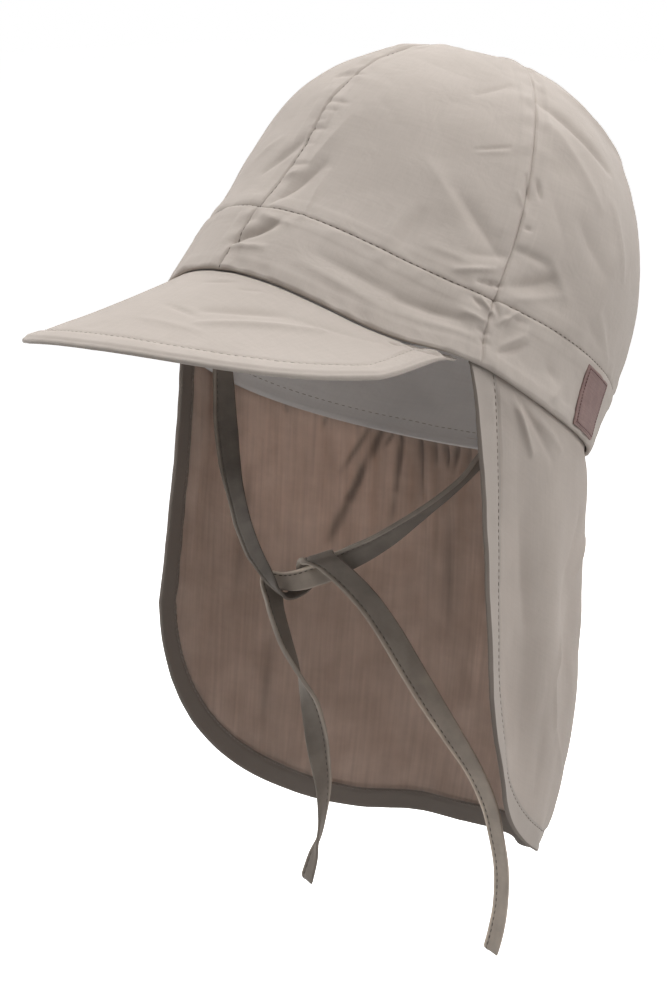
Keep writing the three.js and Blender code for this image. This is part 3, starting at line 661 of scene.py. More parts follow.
def tiePiece(name, node, route, tones, seed):
    middles, across, normal, reach = tieFrames(route, tie["stepsPerRow"])
    length = runLength(middles, 0)
    last = len(tieStations) - 1
    ring = np.array(tieStations + tieStations[-2:0:-1])
    face = np.where(np.arange(len(ring)) < last, 1, -1)
    face[[0, last]] = 0
    half = tieSection(ring) * face
    ends = np.minimum(length, length[-1] - length)
    thin = lerp(tie["endShare"], 1, np.sqrt(np.clip(ends / tie["endLength"], 0, 1)))[:, None]
    place = np.stack([length / tie["rippleSize"], length * 0], -1)
    ripple = softNoise(place, 1, seed) * tie["ripple"]
    place = np.stack([length / tie["waverSize"], length * 0 + 5], -1)
    waver = softNoise(place, 1, seed + 3) * tie["waver"]
    side = ring[None, :, None] * (reach[:, None, :] + waver[:, None, None] * 0.3)
    points = middles[:, None, :] + across[:, None, :] * side
    puff = half[None, :] * thin + ripple[:, None] * (1 - np.abs(ring))[None, :]
    points = points + normal[:, None, :] * puff[..., None]
    rings, count = points.shape[:2]
    faces = [list(quad[::-1]) for quad in gridQuads(rings, count, wrap=True)]
    faces += [list(range(count)), list(range((rings - 1) * count, rings * count))[::-1]]
    cloth = np.stack([
        np.broadcast_to(ring * tie["width"] / 2, points.shape[:2]),
        np.broadcast_to(length[:, None], points.shape[:2]),
    ], -1)
    piece = meshPiece(name, points.reshape(-1, 3), faces, [tieCloth], cloth.reshape(-1, 2))
    stage = np.arange(rings) / tie["stepsPerRow"]
    # painted light and shade along the tie, and a painted highlight on its rolled lip
    paintedLight = np.interp(stage, [at for at, tone in tones], [tone for at, tone in tones])
    shade = paintedLight[:, None] * (1 + tie["lipHighlight"] * smooth(0.62, 0.8, ring))[None, :]
    addMark(piece, "shade", shade)
    seamSide = 1 - 2 * tie["seamInset"] / tie["width"]
    lift = tieSection(np.array([seamSide]))[0] + tie["stitchOut"]
    seam = middles + across * reach * seamSide
    lines = [seam + normal * lift, seam - normal * lift]
    threads = stitchPiece(name + "Stitches", lines, darkThread, 0.0021, 0.0013, 0.00034, seed)
    keep(threads, "tie_cloth")
    keep(piece, "tie_cloth", node)


# painted light and shade along each tie: row of the route and share of the colour
rightTieTones = [(0, 0.9), (6, 0.62), (13, 0.62), (17, 1), (24, 1.05), (27, 1.5), (30, 2.3)]
leftTieTones = [(0, 0.75), (9, 0.75), (11, 2.1), (17, 2.1), (19, 1), (22, 0.9), (24, 1.15)]
tiePiece("tieRight", "tie_right", rightTieRoute, rightTieTones, 3)
tiePiece("tieLeft", "tie_left", leftTieRoute, leftTieTones, 8)
print("ties made")


# shell: the crown's panels on their band, from the same sizes as the solids
shell = {
    "rimHalfWidth": 0.079,
    "rimFront": 0.080,
    "rimBack": 0.0745,
    "rimTilt": 29.3,
    "rimDip": 0.006,
    "rimSag": 0.0025,
    "bandFrontRise": 0.0023,
    "rimArch": 0.0034,         # the rim rides up beside the peak's ends
    "archAngle": -25,
    "archSpread": 15,
    "frontFlattening": 0.1,
    "bandHeight": 0.022,
    "crownHeight": 0.111,
    "sideSeamAngle": 21.2,
    "sideSeamLean": 8.7,
    "wall": 0.0013,
    "seamGap": 0.00022,
}
sectionNames = ("height", "front", "side", "back")
bandSections = [(0, 1, 1, 1), (0.5, 0.96, 0.966, 1.064), (1, 0.91, 0.954, 1.1)]
crownSections = [
    (0.177, 0.83, 0.948, 1.113),
    (0.352, 0.785, 0.926, 1.069),
    (0.526, 0.736, 0.872, 0.976),
    (0.688, 0.632, 0.774, 0.85),
    (0.825, 0.486, 0.638, 0.688),
    (0.931, 0.303, 0.455, 0.485),
    (0.988, 0.11, 0.22, 0.24),
    (1, 0, 0, 0),
]
aboveBand = shell["crownHeight"] - shell["bandHeight"]
sections = [(row[0] * shell["bandHeight"], *row[1:]) for row in bandSections]
sections += [(shell["bandHeight"] + row[0] * aboveBand, *row[1:]) for row in crownSections]
bandTop = len(bandSections) - 1
crownTop = len(sections) - 1

# dents and swells of the solids, alike on both sides: angle, level, spread, rise, lift
reliefRows = [
    (-90, 4.5, 2.5, 4.5, -0.035),
    (-24, 4.5, 2.5, 4.5, -0.04),
    (-10, 2.7, 8, 0.5, -0.12),
    (-17, 5.0, 5, 0.35, -0.06),
    (-36, 1.0, 9, 0.5, -0.06),
    (-28, 1.4, 4, 0.4, 0.05),
    (8, 3.6, 6, 1.0, 0.06),
    (30, 3.0, 10, 1.2, -0.05),
]

# what a half width and a lift of 1 come to in the tables of folds
foldWidth = 0.00088
foldLift = 0.0019
# finer folds on one side only: angle and level of both ends, then half width and lift
creaseRows = [
    # left of the front seam
    (-91.0, 3.76, -98.3, 2.95, 2.3, -0.8),
    (-98.8, 3.84, -106.5, 3.37, 2.0, 0.35),
    (-91.5, 5.74, -95.8, 5.62, 1.3, -0.5),
    # puckers right of the front seam
    (-90.0, 4.83, -83.5, 4.80, 1.2, -0.4),
    (-90.2, 4.58, -85.2, 4.56, 0.8, -0.3),
    (-90.8, 4.34, -87.2, 4.31, 0.7, -0.3),
    (-90.8, 4.13, -85.5, 4.09, 1.0, -0.35),
    (-90.2, 3.74, -86.8, 3.72, 0.7, -0.25),
    (-89.8, 3.15, -85.0, 3.19, 1.2, -0.4),
    (-91.0, 5.77, -86.0, 5.67, 1.0, -0.3),
    # the slanting fold above the band
    (-81.0, 3.23, -87.5, 2.12, 2.7, -1.1),
    (-79.0, 3.13, -76.5, 1.99, 1.5, 0.55),
    (-89.2, 2.83, -85.2, 2.99, 1.7, 0.45),
    (-80.2, 4.53, -84.8, 3.16, 3.7, 0.6),
    (-77.5, 2.53, -75.8, 2.02, 1.3, -0.3),
    (-55.2, 3.03, -55.2, 2.12, 2.3, 0.4),
    (-51.2, 2.98, -51.5, 2.15, 2.3, -0.35),
    # the dent in the band and soft rolls beside it
    (-90.2, 0.83, -81.5, 1.62, 2.2, -1.6),
    (-90.2, 0.61, -81.0, 0.78, 1.3, 0.6),
    (-67.8, 1.12, -45.0, 1.01, 3.0, -0.6),
    (-71.2, 0.75, -47.5, 0.58, 2.7, 0.4),
    (-87.2, 1.78, -78.2, 1.64, 2.0, 0.4),
    # front panel
    (-43.2, 4.71, -33.2, 5.04, 0.7, -0.35),
    (-41.8, 4.67, -33.5, 4.91, 1.0, 0.25),
    (-49.5, 6.04, -38.8, 6.70, 2.0, -0.35),
    (-45.2, 3.73, -26.3, 2.82, 4.0, -0.8),
    (-56.2, 4.09, -36.8, 3.09, 4.7, 0.5),
    (-35.5, 2.26, -26.5, 2.55, 1.3, 0.8),
    (-28.8, 2.23, -22.5, 2.35, 1.0, -1.0),
    (-34.0, 2.66, -24.8, 2.89, 2.0, -0.5),
    (-44.5, 2.49, -33.0, 2.52, 2.0, 0.3),
    # dimples beside the side seam
    (-26.5, 4.56, -24.2, 4.13, 1.0, -0.7),
    (-22.8, 4.57, -20.8, 4.24, 1.0, -0.8),
    (-27.8, 4.18, -24.0, 3.84, 1.0, 0.35),
    (-23.0, 3.56, -21.0, 3.54, 0.9, -0.5),
    # back panel
    (-25.5, 6.55, 5.0, 5.65, 2.3, -1.0),
    (-9.2, 7.42, 25.0, 6.51, 2.7, 0.6),
    (-21.0, 5.94, 0.2, 4.68, 3.0, 0.5),
    (-6.5, 4.18, 5.2, 3.54, 3.7, -0.8),
    (-20.5, 4.67, -9.5, 3.50, 3.0, -0.4),
    (5.5, 4.94, 15.2, 3.73, 2.3, 0.5),
    (-22.5, 3.09, -13.8, 3.09, 1.7, -0.8),
    (-20.2, 2.42, -9.5, 2.88, 2.3, -1.1),
    (-19.8, 2.14, -5.5, 2.69, 2.0, 0.5),
    (-11.8, 3.19, -3.2, 2.68, 2.0, 0.4),
    (8.8, 2.78, 21.5, 2.15, 1.7, 0.5),
    (5.5, 2.55, 14.5, 2.28, 1.7, -0.4),
    # star of folds where the side seam meets the band
    (-28.2, 1.86, -25.5, 1.71, 1.0, -0.6),
    (-26.5, 1.92, -21.8, 1.67, 0.9, 0.6),
    (-23.0, 2.04, -20.8, 1.69, 0.9, -0.6),
    (-29.0, 1.37, -22.5, 1.38, 1.3, 0.6),
    (-24.2, 1.04, -21.2, 1.00, 0.8, -0.5),
    (-20.0, 1.47, -16.2, 1.95, 1.1, 0.7),
    (-18.8, 1.77, -12.8, 1.82, 1.7, -0.5),
    (-17.5, 0.60, -11.2, 1.24, 1.3, -0.7),
    (-17.2, 0.85, -12.5, 1.48, 1.3, 0.5),
    (-45.5, 0.98, -29.0, 1.12, 2.0, -0.7),
    (-44.0, 0.64, -24.2, 0.70, 2.0, 0.5),
    (-22.8, 0.70, -20.2, 0.64, 0.8, -0.4),
    (-3.0, 1.01, 0.5, 0.84, 2.3, -0.5),
    (2.8, 0.73, -1.0, 0.17, 2.3, 0.35),
]


def creased(points, rows, toPoint):    # lift of the folds that run along short lines
    flat = points.reshape(-1, 3)
    lift = np.zeros(len(flat))
    share = np.linspace(0, 1, 5)
    for firstA, firstB, lastA, lastB, wide, depth in rows:
        line = toPoint(lerp(firstA, lastA, share), lerp(firstB, lastB, share))
        middle = line.mean(0)
        reach = np.linalg.norm(line - middle, axis=-1).max() + 0.004 * wide
        near = np.flatnonzero(np.linalg.norm(flat - middle, axis=-1) < reach)
        if not len(near):
            continue
        closest = np.full(len(near), 1.0)
        place = np.zeros(len(near))
        for part, (start, end) in enumerate(zip(line[:-1], line[1:])):
            step = end - start
            along = np.clip((flat[near] - start) @ step / (step @ step), 0, 1)
            away = np.linalg.norm(flat[near] - start - along[:, None] * step, axis=-1)
            place = np.where(away < closest, (part + along) / (len(line) - 1), place)
            closest = np.minimum(away, closest)
        off = closest / (foldWidth * wide)
        fade = 0.5 + 0.5 * np.sin(np.pi * place)
        lift[near] += foldLift * depth * fade * (0.5 * bump(off) + 0.5 * np.exp(-1.7 * off))
    return lift.reshape(points.shape[:-1])


def shellFold(points):
    toShell = lambda degrees, level: smoothShell(np.radians(degrees), level)
    return creased(points, creaseRows, toShell)


def tilted(x, along, height):
    tilt = math.radians(shell["rimTilt"])
    y = along * math.cos(tilt) + height * math.sin(tilt)
    z = height * math.cos(tilt) - along * math.sin(tilt)
    return np.stack(np.broadcast_arrays(x, y, z), -1)


def smoothShell(angle, level):
    angle, level = np.broadcast_arrays(np.asarray(angle, float), np.asarray(level, float))
    row = sampleRows(sectionNames, sections, level)
    across, along = np.cos(angle), np.sin(angle)
    isFront = along < 0
    corner = np.where(isFront, np.sin(2 * angle) ** 2, 0)
    plan = 1 - shell["frontFlattening"] * corner
    reach = np.where(isFront, row["front"] * shell["rimFront"], row["back"] * shell["rimBack"])
    left = 1 - row["height"] / shell["crownHeight"]
    dip = (shell["rimDip"] * across ** 2 + shell["rimSag"] * corner) * left ** 2
    down = (shell["crownHeight"] - row["height"]) / aboveBand
    overBand = np.minimum(row["height"] / shell["bandHeight"], down)
    rise = np.where(isFront, shell["bandFrontRise"] * along ** 2 * overBand, 0)
    turned = np.degrees(np.arcsin(np.clip(along, -1, 1)))
    arched = bump((turned - shell["archAngle"]) / shell["archSpread"])
    rise = rise + shell["rimArch"] * arched * (1 - smooth(0, 1.6, level))
    x = row["side"] * shell["rimHalfWidth"] * across * plan
    return tilted(x, reach * along * plan, row["height"] + rise - dip)


def shellNormal(angle, level):
    step = 0.01
    low = np.maximum(level - step, 0)
    around = smoothShell(angle + step, level) - smoothShell(angle - step, level)
    up = smoothShell(angle, np.minimum(level + step, crownTop)) - smoothShell(angle, low)
    normal = unit(np.cross(around, up))
    flat = (np.broadcast_to(level, normal.shape[:-1]) > crownTop - 0.05)[..., None]
    return np.where(flat, tilted(0.0, 0.0, 1.0), normal)


levelSteps = np.linspace(0, crownTop, 201)
levelLengths = runLength(smoothShell(math.radians(-45), levelSteps), 0)


def shellRelief(angle, level):
    degrees = np.degrees(angle)
    folded = np.where(degrees > 90, 180 - degrees, degrees)
    folded = np.where(folded < -90, -180 - folded, folded)
    lift = np.zeros(np.broadcast(angle, level).shape)
    for middle, height, spread, rise, share in reliefRows:
        away = bump((folded - middle) / spread) * bump((level - height) / rise)
        lift = lift + share * shell["bandHeight"] * away
    return lift * smooth(crownTop, crownTop - 1.5, level)


def shellPoint(angle, level, out=0.0):
    lift = shellRelief(angle, level) + out
    return smoothShell(angle, level) + shellNormal(angle, level) * np.asarray(lift)[..., None]


def sideSeam(level):
    return -np.radians(shell["sideSeamAngle"] + shell["sideSeamLean"] * level / crownTop)


centreFront = lambda level: np.radians(-90) + 0 * level
centreBack = lambda level: np.radians(90) + 0 * level
mirrored = lambda seam: lambda level: np.pi - seam(level)


# how the cloth goes in at its seams and puckers beside them
seamLook = {
    "roll": 0.0005,
    "rollWidth": 0.0008,
    "allowance": 0.00022,      # cloth folded under beside a seam
    "allowanceWidth": 0.006,
    "pucker": 0.00045,
    "puckerPitch": 0.0042,
    "puckerReach": 0.0024,
    "puckerSlant": 0.15,
    "puckerDrift": 0.25,
    "slack": ((0.00022, 0.016), (0.000088, 0.0072)),       # broad unevenness: lift and size
    "crumple": ((0.0006, 0.021), (0.00021, 0.00945)),      # fields of cloth that meet in sharp lines
}
# what the elastic draws in at the nape, between these degrees and their mirror
ruche = {
    "start": 42,
    "full": 62,
    "lift": 0.0006,
    "pitch": 1.15,             # radians of a wave to a degree round the band
    "wander": 1.8,
    "wanderSize": 14,
}
weavePerDegree = 0.00138       # cloth that runs round the shell in one degree


def besideSeam(distance, along, seed):
    lift = -seamLook["roll"] * (1 - smooth(0, seamLook["rollWidth"], distance))
    width = seamLook["allowanceWidth"]
    lift = lift + seamLook["allowance"] * smooth(width, width * 0.7, distance)
    return lift + puckers(seamLook, along, distance, seed)


def shellPiece(name, node, fromSeam, toSeam, low, high, columns, rows, seed, ruched=False):
    shares = denser(columns)[None, :]
    levels = lerp(low, high, denser(rows, 0.5))[:, None]
    gap = shell["seamGap"] / 2
    if high > crownTop - 0.5:
        levels = low + (crownTop - 0.02 - low) * np.linspace(0, 1, rows + 1)[:, None] ** 0.93
    radius = np.linalg.norm(smoothShell(0.0, levels) - tilted(0.0, 0.0, 0.05), axis=-1)
    trim = gap / np.maximum(radius, 0.004)
    angle = lerp(fromSeam(levels) + trim, toSeam(levels) - trim, shares)
    level = np.broadcast_to(levels, angle.shape)
    base = smoothShell(angle, level)
    around = runLength(base, 1)
    up = runLength(base, 0)
    lift = np.zeros(angle.shape)
    seams = ((around, up, 1), (around[:, -1:] - around, up, 2), (up, around, 3))
    if high < crownTop - 0.5:
        seams += ((up[-1:] - up, around, 4),)
    for distance, along, side in seams:
        lift += besideSeam(distance, along, seed * 7 + side)
    inside = smooth(0, 0.012, np.minimum(around, around[:, -1:] - around)) * smooth(0, 0.012, up)
    lift += layered(base, seamLook["slack"], seed) * (0.3 + 0.7 * inside)
    if ruched:
        degrees = np.degrees(angle)
        start, full = ruche["start"], ruche["full"]
        back = smooth(start, full, degrees) * smooth(180 - start, 180 - full, degrees)
        wander = softNoise(np.stack([degrees / ruche["wanderSize"], level * 0.7], -1), 1, 5)
        lift += ruche["lift"] * back * np.sin(degrees * ruche["pitch"] + ruche["wander"] * wander)
    lift = lift * smooth(crownTop - 0.01, crownTop - 0.8, level)
    fold = shellFold(base)
    crumple = layered(base, seamLook["crumple"], seed + 5, ridged=True)
    fold = fold + crumple * smooth(0, 0.006, np.minimum(up, up[-1:] - up + 0.003))
    outer = shellPoint(angle, level, lift + fold)
    inner = shellPoint(angle, level, lift * 0.3 + fold - shell["wall"])
    cloth = np.stack([np.degrees(angle) * weavePerDegree, np.interp(level, levelSteps, levelLengths)], -1)
    piece = wallPiece(name, outer, inner, cloth, [crownCloth], 0.3)
    keep(piece, "crown_cloth", node)


shellGrids = {"front": (165, 215), "back": (165, 175), "band": (200, 46)}
for hand in ("left", "right"):
    isRight = hand == "right"
    seed = 20 if isRight else 10
    front = (mirrored(sideSeam), mirrored(centreFront)) if isRight else (centreFront, sideSeam)
    back = (mirrored(centreBack), mirrored(sideSeam)) if isRight else (sideSeam, centreBack)
    fine = 0.62 if isRight else 1.0    # fewer steps on the far side
    sizes = {key: (round(a * fine), round(b * fine)) for key, (a, b) in shellGrids.items()}
    title = hand.title()
    shellPiece(f"panelFront{title}", f"panel_front_{hand}", *front, bandTop, crownTop, *sizes["front"], seed)
    shellPiece(f"panelBack{title}", f"panel_back_{hand}", *back, bandTop, crownTop, *sizes["back"], seed + 3)
    shellPiece(f"bandFront{title}", f"band_front_{hand}", *front, 0, bandTop, *sizes["band"], seed + 6)
shellPiece("bandBack", "band_back", sideSeam, mirrored(sideSeam), 0, bandTop, 420, 40, 40, ruched=True)
print("crown and band made")


# peak
peak = {
    "halfWidth": 0.074,
    "reach": 0.090,
    "corner": 0.034,
    "endAngle": 27,
    "endTuck": 0.0016,         # how far its ends slip in behind the band
    "endStart": 0.88,          # from here its ends draw in to their seam
    "roundness": 2.35,
    "wall": 0.0026,
    "tipHeight": 0.0205,
    "cornerHeight": 0.0125,
    "arch": -0.0005,
    "tuck": 0.0015,            # how far its root sits below the band's edge
    "seamInset": 0.0072,
    "seamDepth": 0.00035,
    "seamWidth": 0.0006,
    "edgeSwell": 0.0003,
    "edgeSteps": 900,
    "pucker": 0.00012,
    "puckerPitch": 0.0045,
    "puckerReach": 0.003,
    "puckerSlant": 0,
    "puckerDrift": 0.3,
    "slack": ((0.0002, 0.022), (0.0001, 0.009)),
    "pleat": 0.0005,           # fine pleats at the end on the left
    "pleatPitch": 0.00075,
    "rimDrop": 0.0007,
    "rimWidth": 0.0022,
    "thinEnds": 0.45,          # share of its thickness that its ends lose
    "stitchOut": 0.00005,
}


def peakTop(share, out):
    share, out = np.broadcast_arrays(share, out)
    angle = np.radians(lerp(peak["endAngle"] - 180, -peak["endAngle"], share))
    away = np.stack([np.cos(angle), np.sin(angle), 0 * angle], -1)
    ending = smooth(0.78, 1, np.maximum(share, 1 - share))[..., None]
    root = shellPoint(angle, 0 * angle) - away * (peak["endTuck"] * ending)
    root[..., 2] -= peak["tuck"]
    turn = np.pi * share
    wide = np.abs(np.cos(turn)) ** (2 / peak["roundness"])
    deep = np.abs(np.sin(turn)) ** (2 / peak["roundness"])
    x = -np.sign(np.cos(turn)) * peak["halfWidth"] * wide
    rise = (peak["tipHeight"] - peak["cornerHeight"]) * np.sin(turn) ** 3
    edge = np.stack([x, -peak["corner"] - peak["reach"] * deep, peak["cornerHeight"] + rise], -1)
    edge = lerp(edge, root, smooth(peak["endStart"], 1, np.maximum(share, 1 - share))[..., None])
    point = lerp(root, edge, out[..., None])
    point[..., 2] += peak["arch"] * 4 * out * (1 - out) * np.sin(turn)
    return point


# its folds: share and out of both ends, then half width and lift
peakRows = [
    (0.506, 0.439, 0.569, 0.514, 1.1, -0.5),
    (0.509, 0.133, 0.558, 0.080, 1.3, -0.3),
    (0.572, 0.434, 0.681, 0.258, 2.7, -0.7),
    (0.588, 0.584, 0.754, 0.268, 2.0, 0.6),
    (0.501, 0.632, 0.602, 0.669, 2.3, 0.3),
    (0.700, 0.246, 0.851, 0.163, 2.3, -0.3),
    (0.578, 0.143, 0.609, 0.095, 1.0, -0.2),
    (0.868, 0.090, 0.911, 0.128, 0.7, -0.7),
    (0.886, 0.120, 0.926, 0.138, 0.7, 0.5),
    (0.891, 0.000, 0.930, 0.100, 0.7, -0.7),
    (0.924, 0.178, 0.962, 0.600, 0.8, -0.8),
    (0.935, 0.100, 0.972, 0.500, 0.7, 0.5),
    (0.945, 0.050, 0.980, 0.420, 0.8, -0.8),
]


def peakPiece():
    shares = denser(240, 0.3)[None, :]
    outs = denser(96, 0.45)[:, None]
    step = 0.004
    left = peakTop(np.minimum(shares + step, 1), outs)
    right = peakTop(np.maximum(shares - step, 0), outs)
    front = peakTop(shares, np.minimum(outs + step, 1))
    back = peakTop(shares, np.maximum(outs - step, 0))
    normal = unit(np.cross(front - back, left - right))
    base = peakTop(shares, outs)
    count = peak["edgeSteps"]
    edge = peakTop(np.linspace(0, 1, count), np.ones(count))
    fromEdge = nearestOn(base, edge)[0]
    rim = peak["rimDrop"] * smooth(peak["rimWidth"], 0, fromEdge) ** 2
    seam = peak["seamDepth"] * bump((fromEdge - peak["seamInset"]) / peak["seamWidth"])
    swell = peak["edgeSwell"] * smooth(peak["seamInset"], peak["seamInset"] * 0.6, fromEdge)
    around = runLength(edge, 0)[(shares[0] * (count - 1)).astype(int)]
    around = np.broadcast_to(around, fromEdge.shape)
    pucker = puckers(peak, around, np.abs(fromEdge - peak["seamInset"]), 61)
    slack = layered(base, peak["slack"], 62)
    pleat = peak["pleat"] * np.sin(base[..., 1] / peak["pleatPitch"])
    pleat = pleat * bump((shares - 1) / 0.04) * smooth(0.45, 0.0, outs)
    lift = swell - seam + pucker + slack * smooth(0, 0.01, fromEdge) + pleat - rim
    lift = lift + creased(base, peakRows, peakTop)
    top = base + normal * lift[..., None]
    depth = peak["wall"] + swell - seam - rim
    depth = depth * (1 - peak["thinEnds"] * smooth(0.93, 1, np.maximum(shares, 1 - shares)))
    under = base - normal * depth[..., None]
    cloth = np.stack([base[..., 0], base[..., 1]], -1)
    piece = wallPiece("peakPiece", top[::-1], under[::-1], cloth[::-1], [peakCloth], 0.9)
    keep(piece, "peak_cloth", "peak")
    lines = [[], []]
    for column in range(fromEdge.shape[1]):
        row = (slice(None, None, -1), column)
        for line, face, out in zip(lines, (top, under), (peak["stitchOut"], -peak["stitchOut"])):
            point = stitchPoint(fromEdge[row], peak["seamInset"], face[row], normal[row], out)
            if point is not None:
                line.append(point)
    lines = [np.array(line) for line in lines]
    threads = stitchPiece("peakStitches", lines, paleThread, seed=2)
    keep(threads, "peak_cloth")


peakPiece()
print("peak made")


# lining: one dome inside the crown, with a turned edge that is sewn down
lining = {
    "inset": 0.0040,           # shell's face to the lining's outer face
    "wall": 0.0008,
    "hem": 0.0038,             # turned edge
    "hang": 0.0026,            # how far it hangs below the rim at the nape
    "peakEnds": 24,            # degrees, where the rim is raised above the peak's ends
    "raised": 0.0024,
    "raisedSpread": 14,
    "nape": 95,                # degrees, where it hangs lowest
    "napeSpread": 55,
    "crumple": ((0.0009, 0.019), (0.00027, 0.008)),
    "hemSwell": 0.0004,
    "seamDepth": 0.0003,
    "seamWidth": 0.0006,
    "slack": ((0.0007, 0.024),),
    "ripples": ((0.0003, 0.008),),
}


def liningPiece(columns, rows):
    angle = np.linspace(0, 2 * np.pi, columns, endpoint=False)[None, :]
    level = np.linspace(0, crownTop - 0.12, rows)[:, None]
    angle, level = np.broadcast_arrays(angle, level)
    base = shellPoint(angle, level, -lining["inset"])
    up = runLength(base, 0)
    hem = smooth(lining["hem"], lining["hem"] * 0.8, up)
    slack = layered(base, lining["slack"], 71) * smooth(0, 0.02, up)
    slack = slack + layered(base, lining["ripples"], 72)
    slack = slack + layered(base, lining["crumple"], 73, ridged=True) * smooth(0, 0.01, up)
    around = np.degrees(angle)
    down = lining["hang"] * bump((around - lining["nape"]) / lining["napeSpread"])
    for end in (360 - lining["peakEnds"], 180 + lining["peakEnds"]):
        down = down - lining["raised"] * bump((around - end) / lining["raisedSpread"])
    down = down * (1 - smooth(0, 0.012, up))
    seam = lining["seamDepth"] * bump((up - lining["hem"]) / lining["seamWidth"])
    outer = shellPoint(angle, level, -lining["inset"] - 0.4 * lining["wall"] - np.abs(slack) * 0.3)
    inside = lining["inset"] + lining["wall"] + np.abs(slack) + hem * lining["hemSwell"] - seam
    inner = shellPoint(angle, level, -inside)
    outer[..., 2] -= down
    inner[..., 2] -= down
    count = rows * columns
    quads = gridQuads(rows, columns, wrap=True)
    ring = np.arange(columns)
    nextOne = (ring + 1) % columns
    rim = np.stack([ring, ring + count, nextOne + count, nextOne], -1)
    last = (rows - 1) * columns
    poles = np.stack([outer[-1].mean(0), inner[-1].mean(0)])
    points = np.concatenate([outer.reshape(-1, 3), inner.reshape(-1, 3), poles])
    faces = [*quads, *(quads[:, ::-1] + count), *rim]
    faces += [(last + a, last + b, 2 * count) for a, b in zip(ring, nextOne)]
    faces += [(count + last + b, count + last + a, 2 * count + 1) for a, b in zip(ring, nextOne)]
    cloth = np.stack([angle * shell["rimHalfWidth"], up], -1).reshape(-1, 2)
    cloth = np.concatenate([cloth, cloth, cloth[-1:], cloth[-1:]])
    piece = meshPiece("liningDome", points, faces, [liningCloth], cloth)
    keep(piece, "lining_cloth", "lining")
    at = int(np.argmax(up[:, 0] >= lining["hem"]))
    line = inner[at] + unit(inner[at] - shellPoint(angle[at], level[at])) * 0.00005
    line = np.concatenate([line, line[:1]])
    threads = stitchPiece("liningStitches", [line], paleThread, width=0.0003, seed=5)
    keep(threads, "lining_cloth")


liningPiece(300, 70)
print("lining made")


# flap: one sheet sewn under the band, gathered at the nape, with a folded hem on its free edges
flap = {
    "wall": 0.0009,
    "inset": 0.0026,           # shell's face to the middle of the flap
    "halfWidth": 0.0765,
    "backReach": 0.075,
    "leftStart": 23.5,
    "rightStart": 8,
    "tuck": 0.004,
    "edgeDrop": 0.0862,
    "cornerDrop": 0.086,
    "cornerWidth": 0.105,
    "clothWidth": 0.40,        # how wide the weave runs from edge to edge
    "hem": 0.0075,
    "hemExtra": 0.0006,
    "hemSteps": 400,
    "gather": 0.0030,
    "gatherCount": 17,
    "gatherSpread": 66,        # degrees each side of the nape
    "gatherReach": 0.3,        # share of the drop
    "gatherWander": 1.6,
    "wanderSize": 9,           # degrees
    "broad": 0.35,             # share of the wide waves below the gathers
    "edgeSteps": 1100,
    "stitchInset": 0.0011,     # stitches to the hem's inner edge
    "stitchOut": 0.00008,
    "stitchesApart": 0.0015,   # between the rows up the front edges and the one along the bottom
    "seamWidth": 0.0005,
    "outerSeam": 0.00028,      # how deep the stitches pull the cloth in
    "innerSeam": 0.00035,
    "pucker": 0.00022,
    "puckerPitch": 0.0048,
    "puckerReach": 0.003,
    "puckerSlant": 0,
    "puckerDrift": 0.3,
    "slack": ((0.0005, 0.028), (0.00018, 0.010)),
    "crumple": 0.0007,
    "gathered": 0.6,           # share of the gathers' lift
    "rounding": 0.8,
}
stationNames = ("along", "x", "y", "late", "rise")
flapStations = [
    (0, 0.993, -0.347, 0.55, 0),
    (0.0375, 0.954, -0.213, 0.65, 0),
    (0.091, 0.863, -0.04, 1, 0),
    (0.162, 0.775, 0.216, 2.6, 0.3),
    (0.205, 0.674, 0.338, 3.6, 0.65),
    (0.272, 0.515, 0.525, 4.4, 0.8),
    (0.359, 0.288, 0.747, 3.6, 0.45),
    (0.437, 0.052, 0.907, 2.6, 0.3),
    (0.52, -0.235, 1, 2, 0.05),
    (0.607, -0.549, 0.973, 1.8, 0),
    (0.683, -0.784, 0.827, 1.6, 0),
    (0.754, -0.915, 0.6, 1.4, 0.2),
    (0.818, -0.974, 0.373, 1.3, 0.3),
    (0.883, -0.993, 0.133, 1.2, 0.3),
    (0.948, -1, -0.107, 1.2, 0.2),
    (1, -0.993, -0.299, 1.3, 0),
]

# soft folds: along, drop, spread, fall, lift as a share of the hem's width
foldRows = [
    (0.13, 0.5, 0.035, 0.3, 0.3),
    (0.2, 0.45, 0.04, 0.25, -0.35),
    (0.35, 0.75, 0.05, 0.3, -0.5),
    (0.62, 0.8, 0.05, 0.35, 0.5),
    (0.76, 0.7, 0.05, 0.35, -0.45),
    (0.06, 0.75, 0.03, 0.25, -0.2),
]

# sharper folds: along and drop of both ends, then half width and lift
flapRows = [
    (0.262, 0.214, 0.209, 0.347, 1.7, 0.9),
    (0.209, 0.347, 0.169, 0.485, 1.7, 1.0),
    (0.169, 0.485, 0.153, 0.575, 1.5, 0.8),
    (0.153, 0.575, 0.169, 0.685, 1.3, 0.6),
    (0.169, 0.685, 0.231, 0.790, 1.3, 0.4),
    (0.229, 0.186, 0.169, 0.397, 3.0, -0.6),
    (0.056, 0.010, 0.091, 0.116, 1.3, 0.9),
    (0.065, 0.010, 0.129, 0.102, 1.7, -0.6),
    (0.079, 0.010, 0.146, 0.064, 1.7, 0.6),
    (0.074, 0.293, 0.086, 0.515, 3.0, -0.5),
    (0.134, 0.631, 0.133, 0.876, 3.0, -0.5),
    (0.186, 0.391, 0.237, 0.591, 3.0, 0.5),
]

